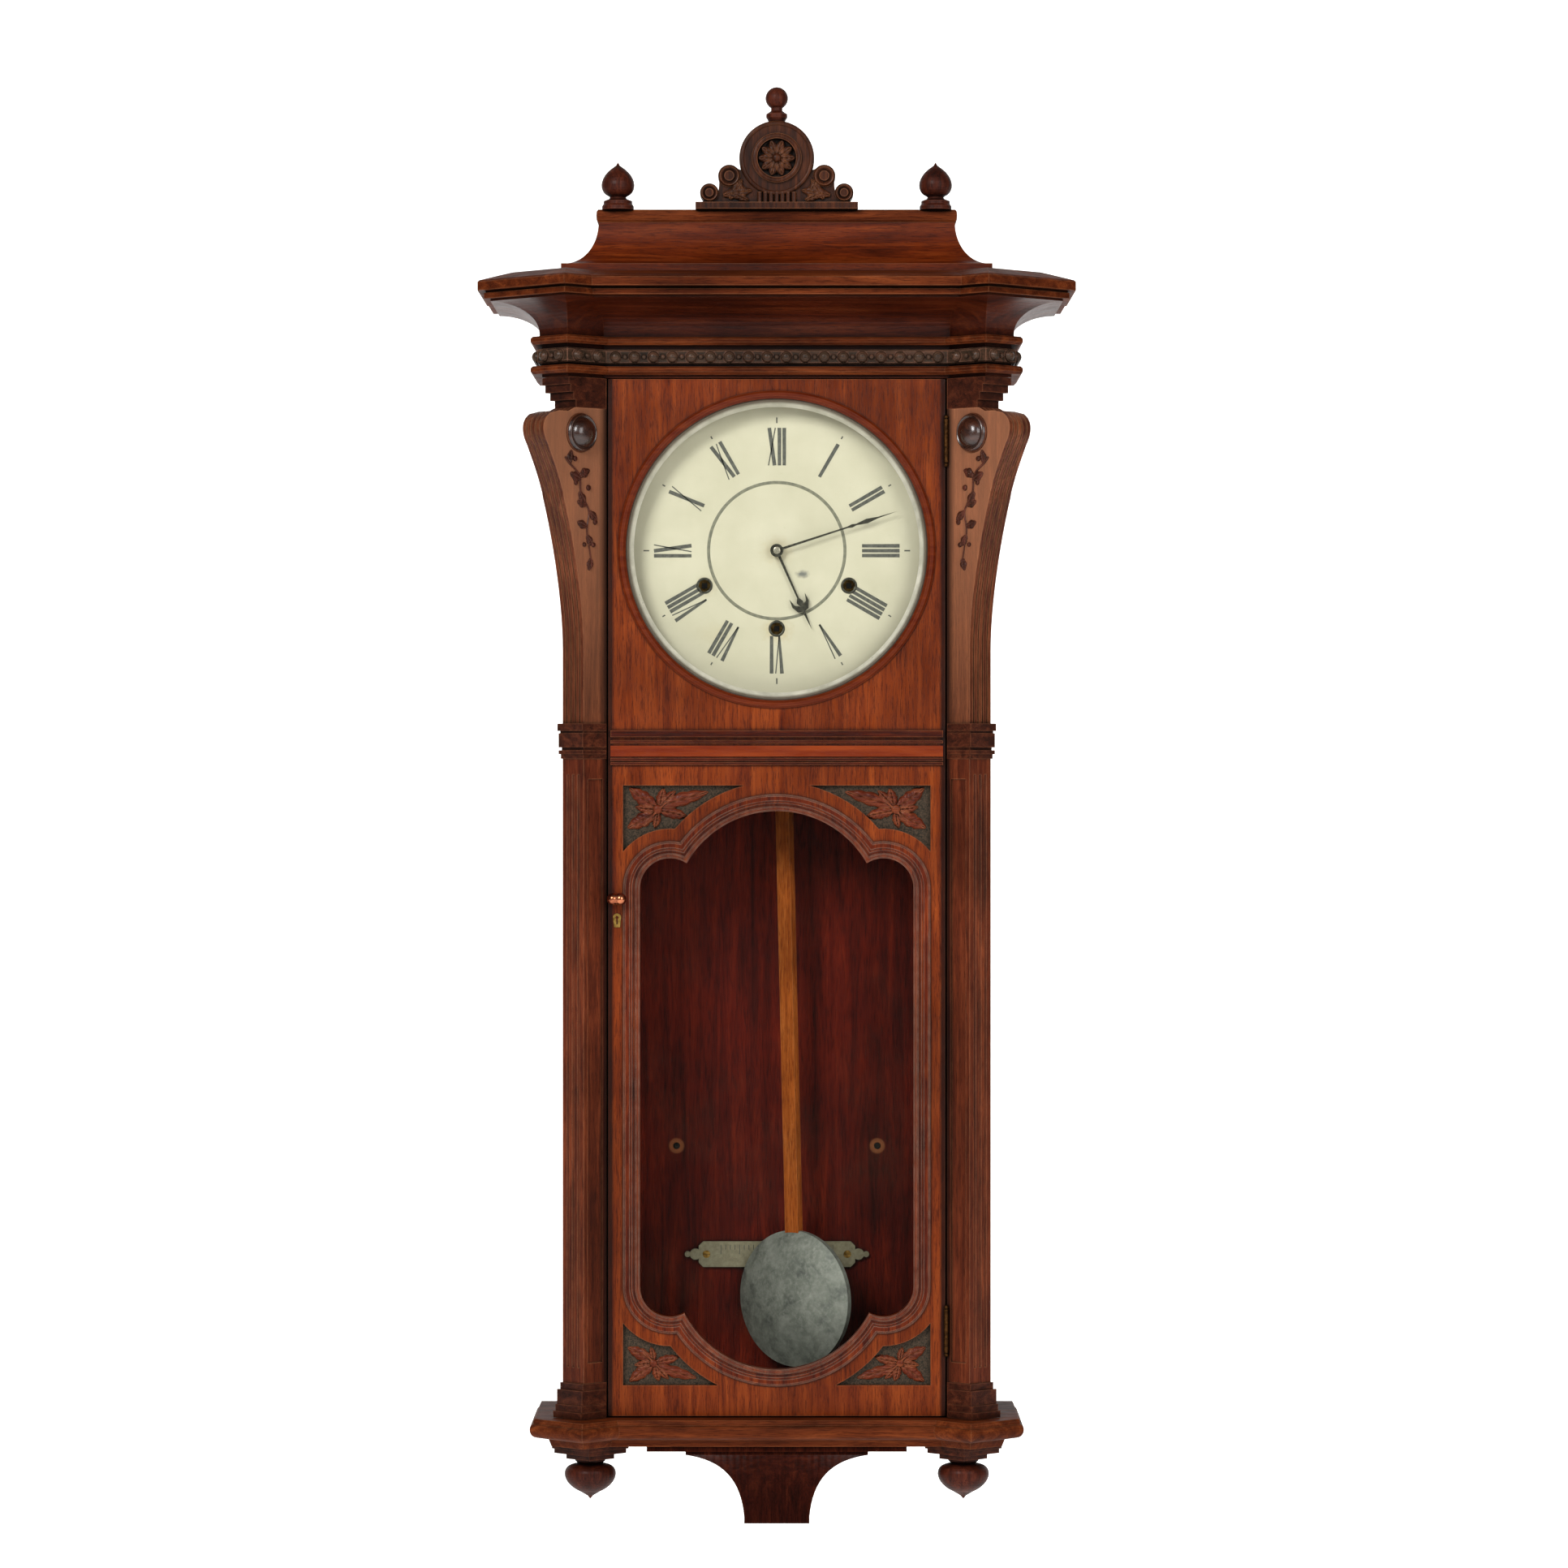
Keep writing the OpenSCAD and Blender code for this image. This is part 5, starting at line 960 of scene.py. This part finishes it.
class CLOCK_OT_console_vines(bpy.types.Operator):
    """Carves the hanging vine under each console's boss"""

    bl_idname = "clock.console_vines"
    bl_label = "Carve the Console Vines"

    def execute(self, context):
        points = [(u * MM, height(z), 0.0004) for u, z in VINE_STEM]
        parts = [swept("vine_stem", points, context.scene.clock_carving.stem_radius, 0.6)]
        for u, z, length, width, angle in VINE_LEAVES:
            leaf = carved_leaf("vine_leaf", length * MM, width * MM, 0.0022, 2, 0.0006)
            parts.append(place(leaf, shift(u * MM, height(z), 0) @ turn(angle)))
        for u, z, radius in VINE_BERRIES:
            berry = boss("vine_berry", radius * MM, 0.0018, ROUND_STEPS)
            parts.append(place(berry, shift(u * MM, height(z), 0)))
        vine = place(join("vine", parts), DIAGONAL_RIGHT @ FACING)
        both = join("console_vines", [vine, duplicate(vine, "vine_left", MIRROR)])
        finish_piece(both, "vine", "case")
        return {"FINISHED"}


BOSS_RING_STEPS = [(0.985, 0.45), (0.94, 0.85), (0.88, 1.0), (0.82, 0.8)]
BOSS_BALL_STEPS = [(0.99, 0.2), (0.94, 0.42), (0.85, 0.62), (0.7, 0.79), (0.52, 0.91), (0.3, 0.98),
                   (0.12, 1.0)]


class CLOCK_OT_console_bosses(bpy.types.Operator):
    """Turns the dark ring and ball that each console's scroll winds round"""

    bl_idname = "clock.console_bosses"
    bl_label = "Turn the Console Bosses"

    def execute(self, context):
        turned = join("boss", [boss("boss_ring", 0.0172, 0.0042, BOSS_RING_STEPS),
                               boss("boss_ball", 0.0139, 0.0108, BOSS_BALL_STEPS)])
        place(turned, DIAGONAL_RIGHT @ shift(0.031, -0.0002, height(966)) @ FACING)
        both = join("console_bosses", [turned, duplicate(turned, "boss_left", MIRROR)])
        finish_piece(both, "boss", "case")
        return {"FINISHED"}


# The bead band on the pilasters' diagonals: its line's start and reach, their thickness, and how proud it is
BAND_ROOT, BAND_REACH, BAND_THICK, BAND_PROUD = PILASTER_ROOT_X + 0.002, 0.044, 0.033, 0.004
BEAD_STEPS = [(0.98, 0.3), (0.87, 0.55), (0.6, 0.84), (0.25, 1.0)]


class CLOCK_OT_small_beads(bpy.types.Operator):
    """Turns the small beads that stand between the large ones of the bead band"""

    bl_idname = "clock.small_beads"
    bl_label = "Turn the Small Beads"

    def face_line(self):
        # Plan of the band's face, from the wall on the right round the front to the wall on the left
        slant, mitre = math.sqrt(0.5), BAND_PROUD * (math.sqrt(2) - 1)
        front = [(BAND_ROOT + (BAND_REACH + BAND_THICK) * slant + BAND_PROUD,
                  (BAND_REACH - BAND_THICK) * slant + mitre),
                 (BAND_ROOT + BAND_REACH * slant, BAND_REACH * slant + BAND_PROUD * math.sqrt(2)),
                 (BAND_ROOT - mitre, BAND_PROUD)]
        line = [Vector((front[0][0], 0, 0))] + [Vector((x, DOOR_FRONT_Y - out, 0)) for x, out in front]
        return line + [Vector((-p.x, p.y, 0)) for p in reversed(line)]

    def execute(self, context):
        radius = context.scene.clock_carving.small_bead
        seed = boss("small_bead_seed", radius, radius, BEAD_STEPS)
        line = self.face_line()
        beads = []
        for start, end in zip(line, line[1:]):
            run = end - start
            outward = Vector((-run.y, run.x, 0)).normalized().to_track_quat("Z", "Y").to_matrix().to_4x4()
            count = max(1, int(run.length / BEAD_PITCH))
            for i in range(1, count):
                spot = start + run * (i / count)
                matrix = shift(spot.x, spot.y, BEAD_LINE_Z) @ outward
                beads.append(duplicate(seed, "small_bead_%d" % len(beads), matrix))
        bpy.data.objects.remove(seed)
        finish_piece(join("small_beads", beads), "bead", "case")
        return {"FINISHED"}


HEAD_STEPS = [(0.98, 0.3), (0.9, 0.65), (0.72, 0.9), (0.45, 1.0)]
SCREW_TURN = 25


class CLOCK_OT_small_fixings(bpy.types.Operator):
    """Sets the hands' collet and the heads of the two steady screws low in the back board"""

    bl_idname = "clock.small_fixings"
    bl_label = "Set the Small Fixings"

    def execute(self, context):
        collet = boss("hand_collet", 0.0034, 0.0006, HEAD_STEPS)
        place(collet, shift(0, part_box("minute_hand")[0][1], DIAL_Z) @ FACING)
        finish_piece(collet, "collet", "minute", 40)
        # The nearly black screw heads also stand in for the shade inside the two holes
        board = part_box("back_board")[0][1]
        heads = []
        for side in (1, -1):
            head = boss("screw_head", 0.0031, 0.0012, HEAD_STEPS)
            deselect()
            bpy.ops.mesh.primitive_cube_add(size=1, location=(0, 0, 0.0014), scale=(0.008, 0.0007, 0.0016))
            cutter = bpy.context.object
            cut = head.modifiers.new("slot", "BOOLEAN")
            cut.operation = "DIFFERENCE"
            cut.object = cutter
            pick([head])
            bpy.ops.object.modifier_apply(modifier=cut.name)
            bpy.data.objects.remove(cutter)
            spot = shift(side * SCREW_HOLE_X, board, SCREW_HOLE_Z)
            heads.append(place(head, spot @ FACING @ turn(SCREW_TURN * side)))
        finish_piece(join("steady_screw_heads", heads), "screw", "case", 40)
        return {"FINISHED"}


# The scale's marks: how many each side of the middle, their pitch, width, relief, and long and short lengths
MARKS, MARK_PITCH, MARK_LINE, MARK_RELIEF, LONG_MARK, SHORT_MARK = 12, 0.0042, 0.0006, 0.0003, 0.0085, 0.0045


class CLOCK_OT_scale_marks(bpy.types.Operator):
    """Draws the beat scale's graduations"""

    bl_idname = "clock.scale_marks"
    bl_label = "Mark the Beat Scale"

    def execute(self, context):
        low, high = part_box("beat_scale")
        top = (low[2] + high[2]) / 2 + LONG_MARK
        piece = blank("beat_scale_marks")
        for i in range(-MARKS, MARKS + 1):
            tall = LONG_MARK if i % 4 == 0 else SHORT_MARK
            bpy.ops.mesh.primitive_cube_add(size=1, location=(i * MARK_PITCH, low[1], top - tall / 2),
                                            scale=(MARK_LINE, MARK_RELIEF, tall))
        bpy.ops.object.mode_set(mode="OBJECT")
        finish_piece(piece, "ink", "case", 35)
        return {"FINISHED"}


PAPER_SIZE, PAPER_FRONT, WALL_HEIGHT = 14, -1.0, 8
# The lamps: [name, place, size, the setting that holds their power]
LAMPS = [("key_softbox", (-1.9, -4.0, 1.7), 1.7, "key_power"),
         ("fill_softbox", (2.2, -3.9, 0.8), 2.2, "fill_power")]
LIT_POINT = (0, -0.1, height(650))
SENSOR = 36.0


class CLOCK_OT_studio(bpy.types.Operator):
    """Sets the pale floor and backdrop, the soft lights and the camera"""

    bl_idname = "clock.studio"
    bl_label = "Set the Studio"

    def paper(self):
        deselect()
        bpy.ops.mesh.primitive_plane_add(size=PAPER_SIZE, location=(0, PAPER_FRONT, height(-700)))
        floor = begin("studio_floor")
        bpy.ops.mesh.select_all(action="DESELECT")
        for edge in bmesh.from_edit_mesh(floor.data).edges:
            edge.select_set(all(v.co.y > PAPER_SIZE / 2 - 0.1 for v in edge.verts))
        bmesh.update_edit_mesh(floor.data)
        bpy.ops.mesh.extrude_region_move(TRANSFORM_OT_translate={"value": (0, 0, WALL_HEIGHT)})
        bpy.ops.object.mode_set(mode="OBJECT")
        bpy.ops.object.transform_apply(location=True, rotation=True, scale=True)
        floor.data.materials.append(bpy.data.materials[FINISH_NAMES["paper"]])

    def air(self, scene):
        # The camera sees a pale studio past the paper's ends, while the light that it gives stays low
        scene.world = bpy.data.worlds.new("soft_studio")
        scene.world.use_nodes = True
        tree = scene.world.node_tree
        seen = add(tree, "LightPath", {}, "Is Camera Ray")
        fill(tree.nodes["Background"], {"Color": (1.0, 0.97, 0.92, 1),
                                        "Strength": add(tree, "MapRange", {"Value": seen, "To Min": 0.16})})
        scene.view_settings.view_transform = "Standard"

    def light(self, name, spot, size, power):
        deselect()
        bpy.ops.object.light_add(type="AREA", location=spot)
        lamp = bpy.context.object
        lamp.name = name
        lamp.data.shape = "SQUARE"
        lamp.data.size = size
        lamp.data.energy = power
        lamp.rotation_euler = (Vector(LIT_POINT) - Vector(spot)).to_track_quat("-Z", "Y").to_euler()

    def camera(self, scene, settings):
        deselect()
        spot = (settings.camera_side, DOOR_FRONT_Y - settings.camera_distance,
                height(settings.camera_height / MM))
        bpy.ops.object.camera_add(location=spot, rotation=(math.radians(90), 0, 0))
        scene.camera = bpy.context.object
        scene.camera.name = "studio_camera"
        scene.camera.data.sensor_width = SENSOR
        scene.camera.data.lens = SENSOR * settings.camera_distance / settings.view_width

    def execute(self, context):
        settings = context.scene.clock_studio
        self.paper()
        self.air(context.scene)
        for name, spot, size, power in LAMPS:
            self.light(name, spot, size, getattr(settings, power))
        self.camera(context.scene, settings)
        return {"FINISHED"}


class CLOCK_PT_panel(bpy.types.Panel):
    """Lists the clock's steps and settings in the sidebar"""

    bl_label = "Vienna Wall Clock"
    bl_idname = "CLOCK_PT_panel"
    bl_space_type = "VIEW_3D"
    bl_region_type = "UI"
    bl_category = "Clock"

    def draw(self, context):
        for step in STEPS:
            self.layout.operator(step.bl_idname)
        for group in GROUPS:
            settings = getattr(context.scene, group)
            box = self.layout.box()
            for name in settings.__annotations__:
                box.prop(settings, name)


FINISH_NAMES = {}
STEPS = [CLOCK_OT_finishes, CLOCK_OT_studio, CLOCK_OT_dial_printing, CLOCK_OT_winding_collets,
         CLOCK_OT_corner_sprays, CLOCK_OT_crest_carving, CLOCK_OT_console_bosses, CLOCK_OT_console_vines,
         CLOCK_OT_small_beads, CLOCK_OT_small_fixings, CLOCK_OT_scale_marks]
GROUPS = {"clock_dial": ClockDialSettings, "clock_carving": ClockCarvingSettings,
          "clock_colours": ClockColourSettings, "clock_studio": ClockStudioSettings}
CLASSES = [*GROUPS.values(), *STEPS, CLOCK_PT_panel]


def register():
    """Registers the classes and hangs the settings on the scene."""
    for cls in CLASSES:
        bpy.utils.register_class(cls)
    for name, group in GROUPS.items():
        setattr(bpy.types.Scene, name, bpy.props.PointerProperty(type=group))


def unregister():
    """Takes the settings and the classes away again."""
    for name in GROUPS:
        delattr(bpy.types.Scene, name)
    for cls in reversed(CLASSES):
        bpy.utils.unregister_class(cls)


def main():
    """Dresses the clock step by step."""
    register()
    for step in STEPS:
        getattr(bpy.ops.clock, step.bl_idname.split(".")[1])()


if __name__ == "__main__":
    main()
